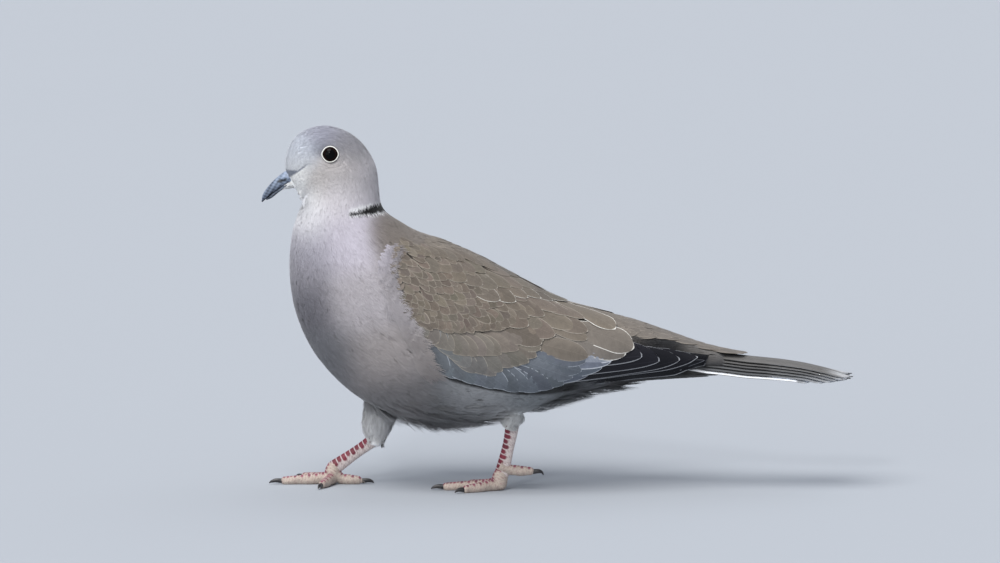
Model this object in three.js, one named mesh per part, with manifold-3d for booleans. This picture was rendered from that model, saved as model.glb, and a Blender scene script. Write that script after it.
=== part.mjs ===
// A Eurasian collared dove, life size, in mid-stride with its wings folded.
// Millimetres, +Z up. The dove faces -X, its left side is -Y, and it stands on z = 0.
// The origin is on the floor under the middle of its length, from bill tip to tail tip.

import * as THREE from "three";
import { mergeVertices } from "three/addons/utils/BufferGeometryUtils.js";
import Module from "manifold-3d";

const wasm = await Module();
wasm.setup();

// ---- Driving dimensions ----

const GAP = 0.3; // left between two pieces that touch
const FAR = 200; // deeper than any part of the bird, for cutting shapes

const TAIL_TIP_X = 139;
const EYE = { x: -106.9, z: 158.3, side: 9.3, radius: 4.4 };
const WING = { depth: 4.2, tipDepth: 2.2, rise: 1.2, apart: 3 }; // how far a folded wing stands off the trunk
const TAIL = { pairs: 6, pitch: 0.93, vane: 0.54, round: 6, sleeve: 0.36 };
const TARSUS = { fore: 3.1, side: 2.1, swelling: [1.12, 0.9, 1.1] }; // half thicknesses of a shank
const CLAW_TIP = 0.25; // radius where a claw ends

// The trunk, neck and head are one form, drawn through ribs. A rib stands in the plane of its top
// point, its bottom point and the Y axis. half is its half width, widest is the height of that
// width as a share of the rib, and full is 2 for an ellipse and more for a squarer section.
const RIBS = {
  billBase: { top: [-127.4, 150.5], bottom: [-122.6, 142.1], half: 3.9, widest: 0.45, full: 2.2 },
  lores: { top: [-127.2, 158.5], bottom: [-121.2, 139.8], half: 7.4, widest: 0.42, full: 2.2 },
  forehead: { top: [-121.6, 168.1], bottom: [-119.9, 138.5], half: 9.9, widest: 0.45, full: 2.3 },
  crown: { top: [-108.5, 172.1], bottom: [-119.1, 137.3], half: 12.1, widest: 0.47, full: 2.3 },
  hindCrown: { top: [-94.2, 166.5], bottom: [-119.5, 135.8], half: 12.9, widest: 0.48, full: 2.2 },
  nape: { top: [-85.4, 154.5], bottom: [-120.7, 133.1], half: 13.6, widest: 0.47, full: 2.1 },
  upperNeck: { top: [-83.6, 142.3], bottom: [-122.4, 128.8], half: 15.2, widest: 0.46, full: 2.1 },
  lowerNeck: { top: [-82, 132.3], bottom: [-124.6, 120.5], half: 18.4, widest: 0.47, full: 2.1 },
  neckBase: { top: [-72.5, 125.8], bottom: [-126.2, 104.5], half: 24.2, widest: 0.5, full: 2.1 },
  shoulder: { top: [-57.5, 119.3], bottom: [-123.6, 83.5], half: 30.2, widest: 0.5, full: 2.1 },
  breast: { top: [-40.2, 112.3], bottom: [-112.6, 60.3], half: 34.2, widest: 0.5, full: 2.1 },
  keel: { top: [-20.1, 101.6], bottom: [-89, 39.1], half: 36, widest: 0.5, full: 2.1 },
  belly: { top: [0.3, 90.1], bottom: [-56, 30.9], half: 35.2, widest: 0.52, full: 2.1 },
  flank: { top: [19.2, 84.2], bottom: [-24, 33.9], half: 31, widest: 0.55, full: 2.1 },
  vent: { top: [38.2, 79.2], bottom: [4, 43.3], half: 24.5, widest: 0.58, full: 2.1 },
  rump: { top: [55.2, 73], bottom: [34, 50.5], half: 18, widest: 0.6, full: 2.1 },
  tailBase: { top: [70, 68], bottom: [60, 52.5], half: 14, widest: 0.6, full: 2.1 },
  tailCoverts: { top: [89, 63.8], bottom: [84, 53.6], half: 13, widest: 0.6, full: 2.1 },
};
const BODY_SIDES = 28;

// ---- Solids ----

const at = (x, y, z) => new THREE.Vector3(x, y, z);
const signedPower = (value, power) => Math.sign(value) * Math.abs(value) ** power;

// A closed solid skinned over rings with the same number of points. Each end is closed by a strip
// that joins the first point to the last, the second to the last but one, and so on.
function skinOver(rings) {
  const sides = rings[0].length;
  const faces = [];
  for (let ring = 0; ring + 1 < rings.length; ring++) {
    for (let side = 0; side < sides; side++) {
      const here = ring * sides + side;
      const next = ring * sides + ((side + 1) % sides);
      faces.push([here, next, next + sides], [here, next + sides, here + sides]);
    }
  }
  for (const [start, flip] of [[0, true], [(rings.length - 1) * sides, false]]) {
    for (let low = 0, high = sides - 1; low + 1 < high; low++, high--) {
      const strip = [[low, low + 1, high]];
      if (low + 1 < high - 1) {
        strip.push([low + 1, high - 1, high]);
      }
      for (const [a, b, c] of strip) {
        faces.push(flip ? [start + a, start + c, start + b] : [start + a, start + b, start + c]);
      }
    }
  }
  const points = rings.flat();
  const solid = solidFrom(points, faces);
  return solid.volume() > 0 ? solid : solidFrom(points, faces.map(([a, b, c]) => [a, c, b]));
}

function solidFrom(points, faces) {
  const vertProperties = new Float32Array(points.flatMap((p) => [p.x, p.y, p.z]));
  const triVerts = new Uint32Array(faces.flat());
  return new wasm.Manifold(new wasm.Mesh({ numProp: 3, vertProperties, triVerts }));
}

// The solid of a closed three.js geometry.
function solidOf(geometry) {
  const bare = geometry.clone();
  bare.deleteAttribute("normal");
  bare.deleteAttribute("uv");
  const merged = mergeVertices(bare, 1e-4);
  return new wasm.Manifold(
    new wasm.Mesh({
      numProp: 3,
      vertProperties: new Float32Array(merged.attributes.position.array),
      triVerts: new Uint32Array(merged.index.array),
    }),
  );
}

function geometryOf(solid) {
  const mesh = solid.getMesh();
  const positions = new Float32Array(mesh.numVert * 3);
  for (let vertex = 0; vertex < mesh.numVert; vertex++) {
    const start = vertex * mesh.numProp;
    positions.set(mesh.vertProperties.subarray(start, start + 3), vertex * 3);
  }
  const geometry = new THREE.BufferGeometry();
  geometry.setAttribute("position", new THREE.BufferAttribute(positions, 3));
  geometry.setIndex(new THREE.BufferAttribute(new Uint32Array(mesh.triVerts), 1));
  geometry.computeVertexNormals();
  return geometry;
}

// A prism of a side-view outline, towards the dove's left (-Y) from a plane beside its middle.
function prismLeft(points, from = 0) {
  const outline = new THREE.Shape(points.map(([x, z]) => new THREE.Vector2(x, z)));
  const geometry = new THREE.ExtrudeGeometry(outline, { depth: FAR, bevelEnabled: false });
  return solidOf(geometry.rotateX(Math.PI / 2).translate(0, -from, 0));
}

const mirrored = (solid) => solid.mirror([0, 1, 0]);
const largestPiece = (solid) => solid.decompose().sort((a, b) => b.volume() - a.volume())[0];

// ---- Body form ----

const ribs = Object.values(RIBS);
const ribNames = Object.keys(RIBS);
const lastRib = ribs.length - 1;
const topLine = new THREE.CatmullRomCurve3(ribs.map((rib) => at(rib.top[0], 0, rib.top[1])));
const bottomLine = new THREE.CatmullRomCurve3(ribs.map((rib) => at(rib.bottom[0], 0, rib.bottom[1])));
const girths = new THREE.CatmullRomCurve3(ribs.map((rib) => at(rib.half, rib.widest, rib.full)));
for (const line of [topLine, bottomLine, girths]) {
  line.curveType = "catmullrom";
}

const placeOf = (name) => ribNames.indexOf(name);

// A ring of the body at a place counted in ribs, grown sideways by side and in height by rise.
function bodyRing(place, side = 0, rise = 0) {
  const top = topLine.getPoint(place / lastRib);
  const bottom = bottomLine.getPoint(place / lastRib);
  const { x: half, y: widest, z: full } = girths.getPoint(place / lastRib);
  const up = top.clone().sub(bottom);
  const height = up.length();
  const middle = bottom.clone().addScaledVector(up, widest);
  up.normalize();
  const ring = [];
  for (let step = 0; step < BODY_SIDES; step++) {
    const angle = ((step + 0.5) / BODY_SIDES) * 2 * Math.PI - Math.PI / 2;
    const reach = Math.sin(angle) > 0 ? height * (1 - widest) + rise : height * widest + rise;
    const point = middle.clone();
    point.addScaledVector(up, signedPower(Math.sin(angle), 2 / full) * reach);
    point.y = -signedPower(Math.cos(angle), 2 / full) * (half + side);
    ring.push(point);
  }
  return ring;
}

// The body between two places, with perRib rings to a rib. It is grown in height by rise, and
// sideways by side at its start and by endSide at its end.
function bodyBetween(from, to, { perRib = 2, side = 0, endSide = side, rise = 0 } = {}) {
  const count = Math.round((to - from) * perRib);
  const rings = Array.from({ length: count + 1 }, (_, step) => {
    const place = THREE.MathUtils.lerp(from, to, step / count);
    return bodyRing(place, THREE.MathUtils.lerp(side, endSide, step / count), rise);
  });
  return skinOver(rings);
}

const GROWN = { side: GAP, rise: GAP };

// The share of a rib step that leaves the gap between two pieces of the body at a place.
function seam(place) {
  const step = 0.01;
  const speeds = [topLine, bottomLine].map(
    (line) => line.getPoint(place / lastRib).distanceTo(line.getPoint((place + step) / lastRib)) / step,
  );
  return GAP / Math.min(...speeds);
}

// ---- Limbs ----

// A limb through stations { at, fore, side }: half thicknesses in its plane of travel and across it.
// Whatever would reach below the floor is pressed flat on it.
function limb(stations, sides = 10, grow = 0) {
  const places = stations.map((station) => station.at);
  const whole = places[places.length - 1].clone().sub(places[0]).normalize();
  const upright = Math.abs(whole.z) > 0.9;
  const crosswise = upright ? at(0, 1, 0) : at(0, 0, 1).cross(whole).normalize();
  const rings = stations.map((station, index) => {
    const before = places[Math.max(index - 1, 0)];
    const after = places[Math.min(index + 1, places.length - 1)];
    const along = after.clone().sub(before).normalize();
    const across = crosswise.clone().addScaledVector(along, -along.dot(crosswise)).normalize();
    const over = along.clone().cross(across);
    return Array.from({ length: sides }, (_, step) => {
      const angle = ((step + 0.5) / sides) * 2 * Math.PI;
      const point = station.at.clone();
      point.addScaledVector(across, Math.cos(angle) * (station.side + grow));
      point.addScaledVector(over, Math.sin(angle) * (station.fore + grow));
      point.z = Math.max(point.z, 0);
      return point;
    });
  });
  return skinOver(rings);
}

// ---- The dove ----

const dove = new THREE.Group();
const matt = (color, roughness) => new THREE.MeshStandardMaterial({ color, roughness, metalness: 0 });
const finishes = {
  plumage: matt(0xb5a9a6, 0.9),
  wing: matt(0x8d7f70, 0.85),
  flight: matt(0x2b2b31, 0.75),
  tail: matt(0x6f6a66, 0.8),
  bill: matt(0x2e333c, 0.5),
  eye: matt(0x120806, 0.1),
  leg: matt(0x7d2838, 0.6),
  claw: matt(0x26221f, 0.5),
};

function add(name, solid, finish) {
  const mesh = new THREE.Mesh(geometryOf(solid), finishes[finish]);
  mesh.name = name;
  dove.add(mesh);
}

// Adds a piece of the left side and its mirror image.
function addPair(name, solid, finish) {
  add(`${name}_left`, solid, finish);
  add(`${name}_right`, mirrored(solid), finish);
}

// Head, neck, trunk and rump are one form, parted by thin cuts along its ribs.
const NECK_FROM = placeOf("nape") + 0.6;
const TRUNK_FROM = placeOf("neckBase") + 0.5;
const RUMP_FROM = placeOf("vent");
const TAIL_FROM = placeOf("tailBase");

function eyeball(radius) {
  const ball = new THREE.SphereGeometry(radius, 16, 9);
  return solidOf(ball.translate(EYE.x, -EYE.side, EYE.z));
}

function makeBody() {
  const socket = eyeball(EYE.radius + GAP);
  const skull = bodyBetween(0, NECK_FROM, { perRib: 3 });
  add("head", skull.subtract(socket).subtract(mirrored(socket)), "plumage");
  add("neck", bodyBetween(NECK_FROM + seam(NECK_FROM), TRUNK_FROM), "plumage");
  add("trunk", bodyBetween(TRUNK_FROM + seam(TRUNK_FROM), RUMP_FROM), "plumage");
  add("rump", bodyBetween(RUMP_FROM + seam(RUMP_FROM), TAIL_FROM), "plumage");
  addPair("eye", eyeball(EYE.radius), "eye");
}

// The bill: each mandible is skinned over ribs { top, bottom, half } from its base to its tip.
const BILL_SIDES = 12;
const MANDIBLES = {
  bill_upper: [
    { top: [-127.9, 150.2], bottom: [-125.4, 145.8], half: 3.1 },
    { top: [-130.7, 148.1], bottom: [-128.4, 143.9], half: 2.8 },
    { top: [-133.7, 145.3], bottom: [-131.7, 142], half: 2.1 },
    { top: [-136.4, 142.2], bottom: [-134.9, 139.7], half: 1.75 },
    { top: [-138.4, 139.1], bottom: [-137.2, 137.5], half: 1.25 },
    { top: [-139, 135.8], bottom: [-138.6, 135.6], half: 0.35 },
  ],
  bill_lower: [
    { top: [-125.2, 145.3], bottom: [-123.4, 142.1], half: 2.9 },
    { top: [-128.4, 143.3], bottom: [-127.2, 141.4], half: 2.3 },
    { top: [-131.6, 141.4], bottom: [-130.7, 139.9], half: 1.7 },
    { top: [-134.8, 139.1], bottom: [-134.3, 138], half: 1.2 },
    { top: [-136.9, 137.2], bottom: [-136.7, 136.8], half: 0.5 },
  ],
};

function makeBill() {
  for (const [name, stations] of Object.entries(MANDIBLES)) {
    const rings = stations.map(({ top, bottom, half }) => {
      const middle = at((top[0] + bottom[0]) / 2, 0, (top[1] + bottom[1]) / 2);
      const reach = at(top[0], 0, top[1]).sub(middle);
      return Array.from({ length: BILL_SIDES }, (_, step) => {
        const angle = ((step + 0.5) / BILL_SIDES) * 2 * Math.PI - Math.PI / 2;
        const point = middle.clone().addScaledVector(reach, Math.sin(angle));
        point.y = -Math.cos(angle) * half;
        return point;
      });
    });
    add(name, skinOver(rings), "bill");
  }
}

// ---- Wings ----

// The folded wing seen from its side, [x, z], from the shoulder down, back and up again.
const WING_OUTLINE = [
  [-72, 118], [-76, 109], [-74.6, 94], [-67.5, 80], [-60.5, 69.5], [-55.4, 59.6], [-47, 54.2],
  [-34, 51.2], [-17.6, 49.4], [-4.5, 50.3], [10.6, 51.8], [29.4, 55], [49, 57.9], [62.3, 61.2],
  [72.8, 66.2], [67, 69.8], [48.6, 72.4], [33.6, 76.4], [19, 81.6], [4.5, 86.4], [-14, 95.2],
  [-30, 104.4], [-45, 111.6], [-60, 116.8],
];
// Where the coverts end and the secondaries begin, and where only the primaries are left.
const COVERT_EDGE = [[-18, 20], [-9, 42], [2.4, 56], [5, 70], [3, 140]];
const PRIMARY_EDGE = [[-14, 20], [-1, 42], [12, 52.6], [24, 58], [33, 65.4], [35.4, 71], [34, 140]];

// Everything of the left side ahead of an edge that is moved back by shift.
function aheadOf(edge, shift) {
  const moved = edge.map(([x, z]) => [x + shift, z]);
  return prismLeft([[-FAR, edge[0][1]], ...moved, [-FAR, edge.at(-1)[1]]]);
}

// A folded wing is a shell that stands off the body by its depth, cut to the wing's outline.
function makeWings() {
  const from = TRUNK_FROM - 1;
  const over = { side: WING.depth, endSide: WING.tipDepth, rise: WING.rise };
  const shell = bodyBetween(from, lastRib, over).subtract(bodyBetween(from - 0.2, lastRib, GROWN));
  const wing = shell.intersect(prismLeft(WING_OUTLINE, WING.apart));
  const behindCoverts = wing.subtract(aheadOf(COVERT_EDGE, GAP));
  addPair("wing_coverts", largestPiece(wing.intersect(aheadOf(COVERT_EDGE, 0))), "wing");
  addPair("wing_secondaries", largestPiece(behindCoverts.intersect(aheadOf(PRIMARY_EDGE, 0))), "wing");
  addPair("wing_primaries", largestPiece(wing.subtract(aheadOf(PRIMARY_EDGE, GAP))), "flight");
}

// ---- Tail ----

// A closed tail is an arch of twelve long feathers, the middle pair on top. Each pair lies a layer
// lower and reaches further out than the one before. The arch is listed from root to tip:
// the height of its crown, its half width, and how far its edges hang below the crown.
const TAIL_ARCH = [
  { x: 70.6, crown: 65.2, half: 13.4, drop: 5.2 },
  { x: 88, crown: 62.7, half: 14.9, drop: 4.5 },
  { x: 105, crown: 61, half: 16.4, drop: 3.7 },
  { x: 116, crown: 59.2, half: 17, drop: 2.9 },
  { x: 139, crown: 53.5, half: 17, drop: 2 },
];
const TAIL_SHORTER = [0, 1, 3, 6, 10, 17]; // how much shorter each pair is than the middle one

function archAt(x) {
  const next = Math.max(1, TAIL_ARCH.findIndex((rib) => rib.x >= x));
  const [before, after] = [TAIL_ARCH[next - 1], TAIL_ARCH[next]];
  const share = (x - before.x) / (after.x - before.x);
  const between = (key) => THREE.MathUtils.lerp(before[key], after[key], share);
  return { crown: between("crown"), half: between("half"), drop: between("drop") };
}

function tailFeather(pair) {
  const tip = TAIL_TIP_X - TAIL_SHORTER[pair];
  const roundFrom = tip - TAIL.round;
  const shaft = TAIL_ARCH.filter((rib) => rib.x < roundFrom).map(({ x }) => ({ x, narrowed: 1 }));
  const turn = [0, 0.5, 0.85, 1].map((share) => ({
    x: roundFrom + TAIL.round * share,
    narrowed: Math.max(Math.sqrt(1 - share ** 2), 0.08),
  }));
  const rings = [...shaft, ...turn].map(({ x, narrowed }) => {
    const { crown, half, drop } = archAt(x);
    const outer = half * THREE.MathUtils.lerp(0.66, 1, pair / (TAIL.pairs - 1));
    const middle = (outer + GAP / 2) / 2;
    const reach = (middle - GAP / 2) * narrowed;
    const upper = [-1, -0.35, 0.35, 1].map((across) => {
      const side = middle + reach * across;
      return at(x, -side, crown - pair * TAIL.pitch - drop * (side / half) ** 2);
    });
    const lower = upper.map((point) => at(point.x, point.y, point.z - TAIL.vane)).reverse();
    return [...upper, ...lower];
  });
  return skinOver(rings);
}

// The space the tail feathers' roots take up, with a gap around them.
function tailSleeve() {
  const depth = (TAIL.pairs - 1) * TAIL.pitch + TAIL.vane + TAIL.sleeve;
  const shares = Array.from({ length: 11 }, (_, step) => step / 5 - 1);
  const rings = TAIL_ARCH.slice(0, 3).map((rib, index) => {
    const x = index === 0 ? rib.x - 15 : rib.x;
    const { crown, half, drop } = archAt(x);
    const over = (share) => crown - drop * share ** 2;
    const upper = shares.map((share) => at(x, share * (half + GAP), over(share) + TAIL.sleeve));
    const lower = shares.map((share) => at(x, share * (half + GAP), over(share) - depth));
    return [...upper, ...lower.reverse()];
  });
  return skinOver(rings);
}

function makeTail() {
  for (let pair = 0; pair < TAIL.pairs; pair++) {
    addPair(`tail_feather_${pair + 1}`, tailFeather(pair), "tail");
  }
  const coverts = bodyBetween(TAIL_FROM + seam(TAIL_FROM), lastRib).subtract(tailSleeve());
  const top = (solid) => solid.boundingBox().max[2];
  const [upper, lower] = coverts.decompose().sort((a, b) => top(b) - top(a));
  add("tail_coverts_upper", upper, "plumage");
  add("tail_coverts_lower", lower, "plumage");
}

// ---- Legs ----

// Each leg is listed from the thigh, which comes out of the belly feathers, down to the toes.
// A thigh has stations [x, y, z, radius], a shank has stations [x, y, z]. A toe runs from the pad
// along its heading, in degrees from straight ahead towards the dove's left. Its claw is extra.
const LEGS = {
  left: {
    thigh: [[-25, -15, 52, 10], [-22, -11, 40, 6.6], [-20.9, -9.2, 32.4, 4.2]],
    shank: [[-20.6, -9, 35], [-23.2, -8.2, 20], [-26.2, -7.5, 7.2]],
    pad: at(-27, -7.5, 6.2),
    toes: [
      { name: "middle", heading: 0, length: 27, claw: 5.5 },
      { name: "inner", heading: -34, length: 18, claw: 4.5 },
      { name: "outer", heading: 30, length: 20, claw: 4.5 },
      { name: "hind", heading: 180, length: 16.5, claw: 4, lift: 7.2, root: 12 },
    ],
  },
  right: {
    thigh: [[-76, 17, 52, 11], [-83, 14.5, 37, 7.4], [-85.6, 13, 26, 5.8], [-87.2, 12.6, 20.4, 4.6]],
    shank: [[-84.6, 12.6, 22.4], [-95, 12.8, 15], [-105.2, 13, 7.8]],
    pad: at(-106, 13, 6.4),
    toes: [
      { name: "middle", heading: 3, length: 24.6, claw: 5.6 },
      { name: "inner", heading: 72, length: 17, claw: 4.5 },
      { name: "outer", heading: -42, length: 20, claw: 4.5 },
      { name: "hind", heading: 176, length: 15, claw: 4.5, root: 6 },
    ],
  },
};
const LEG_SIDES = { thigh: 14, shank: 10, toe: 8 };

const ball = (x, y, z, radius) => ({ at: at(x, y, z), fore: radius, side: radius });

const thighOf = (leg, grow) => limb(leg.thigh.map((station) => ball(...station)), LEG_SIDES.thigh, grow);

function shankOf(leg) {
  const stations = leg.shank.map(([x, y, z], index) => ({
    at: at(x, y, z),
    fore: TARSUS.fore * TARSUS.swelling[index],
    side: TARSUS.side * TARSUS.swelling[index],
  }));
  return limb(stations, LEG_SIDES.shank);
}

// The stations of a toe's flesh and of its claw. lift is how far its tip is off the floor.
function toeStations(pad, { heading, length, claw, lift = 0, root = pad.z - 0.6 }) {
  const turn = THREE.MathUtils.degToRad(heading);
  const along = (distance, height, radius) =>
    ball(pad.x - distance * Math.cos(turn), pad.y - distance * Math.sin(turn), height, radius);
  return {
    flesh: [
      along(0, root, 3.1),
      along(0.24 * length, lift + 2.5, 2.6),
      along(0.5 * length, lift + 2.1, 2.35),
      along(0.8 * length, lift + 1.75, 2.05),
      along(length, lift + 1.55, 1.75),
    ],
    claw: [
      along(length + GAP, lift + 1.9, 1.25),
      along(length + 0.55 * claw, lift + 1.7, 0.85),
      along(length + claw, lift * 0.8 + 0.3, CLAW_TIP),
    ],
  };
}

function footOf({ pad, toes }, grow) {
  const sole = [
    ball(pad.x - 3, pad.y, pad.z - 3.4, 2.9),
    ball(pad.x + 0.4, pad.y, pad.z - 0.8, 3.4),
    ball(pad.x + 3, pad.y, pad.z + 1, 2.4),
  ];
  const limbs = [sole, ...toes.map((toe) => toeStations(pad, toe).flesh)];
  return wasm.Manifold.union(limbs.map((stations) => limb(stations, LEG_SIDES.toe, grow)));
}

function makeLegs() {
  const body = bodyBetween(TRUNK_FROM, RUMP_FROM, GROWN);
  for (const [side, leg] of Object.entries(LEGS)) {
    const shank = shankOf(leg).subtract(thighOf(leg, GAP)).subtract(footOf(leg, GAP));
    add(`thigh_${side}`, largestPiece(thighOf(leg, 0).subtract(body)), "plumage");
    add(`shank_${side}`, largestPiece(shank), "leg");
    add(`foot_${side}`, footOf(leg, 0), "leg");
    for (const toe of leg.toes) {
      add(`claw_${toe.name}_${side}`, limb(toeStations(leg.pad, toe).claw, LEG_SIDES.toe), "claw");
    }
  }
}

makeBody();
makeBill();
makeWings();
makeTail();
makeLegs();

export default dove;
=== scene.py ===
import logging
import math
from dataclasses import dataclass, field, replace
from enum import Enum
from typing import Callable, Sequence

import bmesh
import bpy
import numpy as np
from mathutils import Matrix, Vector
from mathutils.bvhtree import BVHTree


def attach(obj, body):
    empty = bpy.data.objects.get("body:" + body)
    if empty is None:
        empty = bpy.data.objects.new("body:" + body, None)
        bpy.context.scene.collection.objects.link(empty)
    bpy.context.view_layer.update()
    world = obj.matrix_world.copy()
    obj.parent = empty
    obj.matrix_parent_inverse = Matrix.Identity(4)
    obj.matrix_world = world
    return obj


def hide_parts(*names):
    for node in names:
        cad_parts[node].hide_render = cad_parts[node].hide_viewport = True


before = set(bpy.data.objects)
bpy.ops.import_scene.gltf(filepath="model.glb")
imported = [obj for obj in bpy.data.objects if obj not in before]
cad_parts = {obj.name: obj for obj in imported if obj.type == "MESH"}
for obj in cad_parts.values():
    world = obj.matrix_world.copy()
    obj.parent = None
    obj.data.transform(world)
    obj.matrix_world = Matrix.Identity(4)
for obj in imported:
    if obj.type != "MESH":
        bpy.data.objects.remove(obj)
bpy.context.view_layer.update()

MM = 0.001
BODY = "root"
LOG = logging.getLogger("dove")
Array = np.ndarray


class Side(Enum):
    """The two sides of the bird, as the sign of their Y."""

    LEFT = -1
    RIGHT = 1

    @property
    def word(self) -> str:
        """The side's name as the frame's nodes spell it."""
        return self.name.lower()


# ---------------------------------------------------------------- numbers


def unit(vectors: Array) -> Array:
    """Scales each vector of an array to length one."""
    return vectors / np.maximum(np.linalg.norm(vectors, axis=-1, keepdims=True), 1e-12)


def dot(first: Array, second: Array) -> Array:
    """Row by row dot products, kept as a column."""
    return (first * second).sum(-1, keepdims=True)


def ease(value: Array, low: float, high: float) -> Array:
    """A smooth step from 0 at low to 1 at high; high may be the smaller one."""
    share = np.clip((np.asarray(value, float) - low) / (high - low), 0.0, 1.0)
    return share * share * (3.0 - 2.0 * share)


def through(points: Sequence[Sequence[float]], places: Array) -> Array:
    """A Catmull-Rom curve.

    Args:
        points: The points or rows of numbers the curve passes through.
        places: Where to read it, counted in points from 0.

    Returns:
        One row for each place.
    """
    knots = np.asarray(points, float)
    if knots.ndim == 1:
        knots = knots[:, None]
    padded = np.vstack([2 * knots[0] - knots[1], knots, 2 * knots[-1] - knots[-2]])
    place = np.clip(np.asarray(places, float), 0, len(knots) - 1)
    start = np.minimum(place.astype(int), len(knots) - 2)
    t = (place - start)[:, None]
    a, b, c, d = (padded[start + shift] for shift in range(4))
    return b + 0.5 * t * (c - a + t * (2 * a - 5 * b + 4 * c - d + t * (3 * (b - c) + d - a)))


def srgb(red: int, green: int, blue: int) -> Array:
    """A colour given in 0 to 255 as shown, in the linear light the shaders work in."""
    shown = np.array([red, green, blue], float) / 255
    return np.where(shown <= 0.04045, shown / 12.92, ((shown + 0.055) / 1.055) ** 2.4)


def blend(first: Array, second: Array, share: Array | float) -> Array:
    """Goes from the first at share 0 to the second at share 1."""
    return first + (second - first) * share


def beside(out: Array) -> tuple[Array, Array]:
    """Two directions square to a direction and to each other, the first of them level."""
    first = unit(np.cross([0.0, 0.0, 1.0], out))
    return first, np.cross(out, first)


def spokes_round(out: Array, turn: Array) -> Array:
    """Directions that turn round a direction, square to it, by angles in radians."""
    first, second = beside(out)
    return first * np.cos(turn)[:, None] + second * np.sin(turn)[:, None]


def soften(grid: Array, rows: float, columns: float) -> Array:
    """Blurs a grid whose columns run round a closed ring and whose rows have two ends.

    Args:
        grid: The grid of numbers.
        rows: The blur's reach along the rows' direction, in rows.
        columns: The blur's reach round the ring, in columns.

    Returns:
        The blurred grid.
    """
    for axis, reach in ((0, rows), (1, columns)):
        half = max(1, int(3 * reach))
        weights = np.exp(-0.5 * (np.arange(-half, half + 1) / reach) ** 2)
        weights /= weights.sum()
        grid = grid if axis == 0 else grid.T
        wide = np.pad(grid, ((half, half), (0, 0)), mode="edge" if axis == 0 else "wrap")
        grid = sum(w * wide[k:k + grid.shape[0]] for k, w in enumerate(weights))
    return np.ascontiguousarray(grid.T)


# ---------------------------------------------------------------- shaders


class Sock:
    """A node's output that adds Math nodes when it is used in an expression."""

    def __init__(self, recipe: "Recipe", socket: bpy.types.NodeSocket) -> None:
        """Wraps an output socket of a recipe's tree."""
        self.recipe, self.socket = recipe, socket

    def _math(self, operation: str, *values: "Sock | float") -> "Sock":
        """Adds one Math node."""
        return self.recipe.node("ShaderNodeMath", {"operation": operation}, dict(enumerate(values)))

    def __add__(self, other: "Sock | float") -> "Sock":
        """self + other."""
        return self._math("ADD", self, other)

    def __sub__(self, other: "Sock | float") -> "Sock":
        """self - other."""
        return self._math("SUBTRACT", self, other)

    def __rsub__(self, other: float) -> "Sock":
        """other - self."""
        return self._math("SUBTRACT", other, self)

    def __mul__(self, other: "Sock | float") -> "Sock":
        """self * other."""
        return self._math("MULTIPLY", self, other)

    def __truediv__(self, other: "Sock | float") -> "Sock":
        """self / other."""
        return self._math("DIVIDE", self, other)

    __radd__ = __add__
    __rmul__ = __mul__

    def least(self, other: "Sock | float") -> "Sock":
        """The smaller of the two."""
        return self._math("MINIMUM", self, other)

    def size(self) -> "Sock":
        """The value without its sign."""
        return self._math("ABSOLUTE", self)

    def wave(self) -> "Sock":
        """Its sine."""
        return self._math("SINE", self)

    def ramp(self, low: float, high: float) -> "Sock":
        """A smooth step from 0 at low to 1 at high."""
        settings = {"interpolation_type": "SMOOTHSTEP"}
        return self.recipe.node("ShaderNodeMapRange", settings, {"Value": self, 1: low, 2: high})


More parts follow.
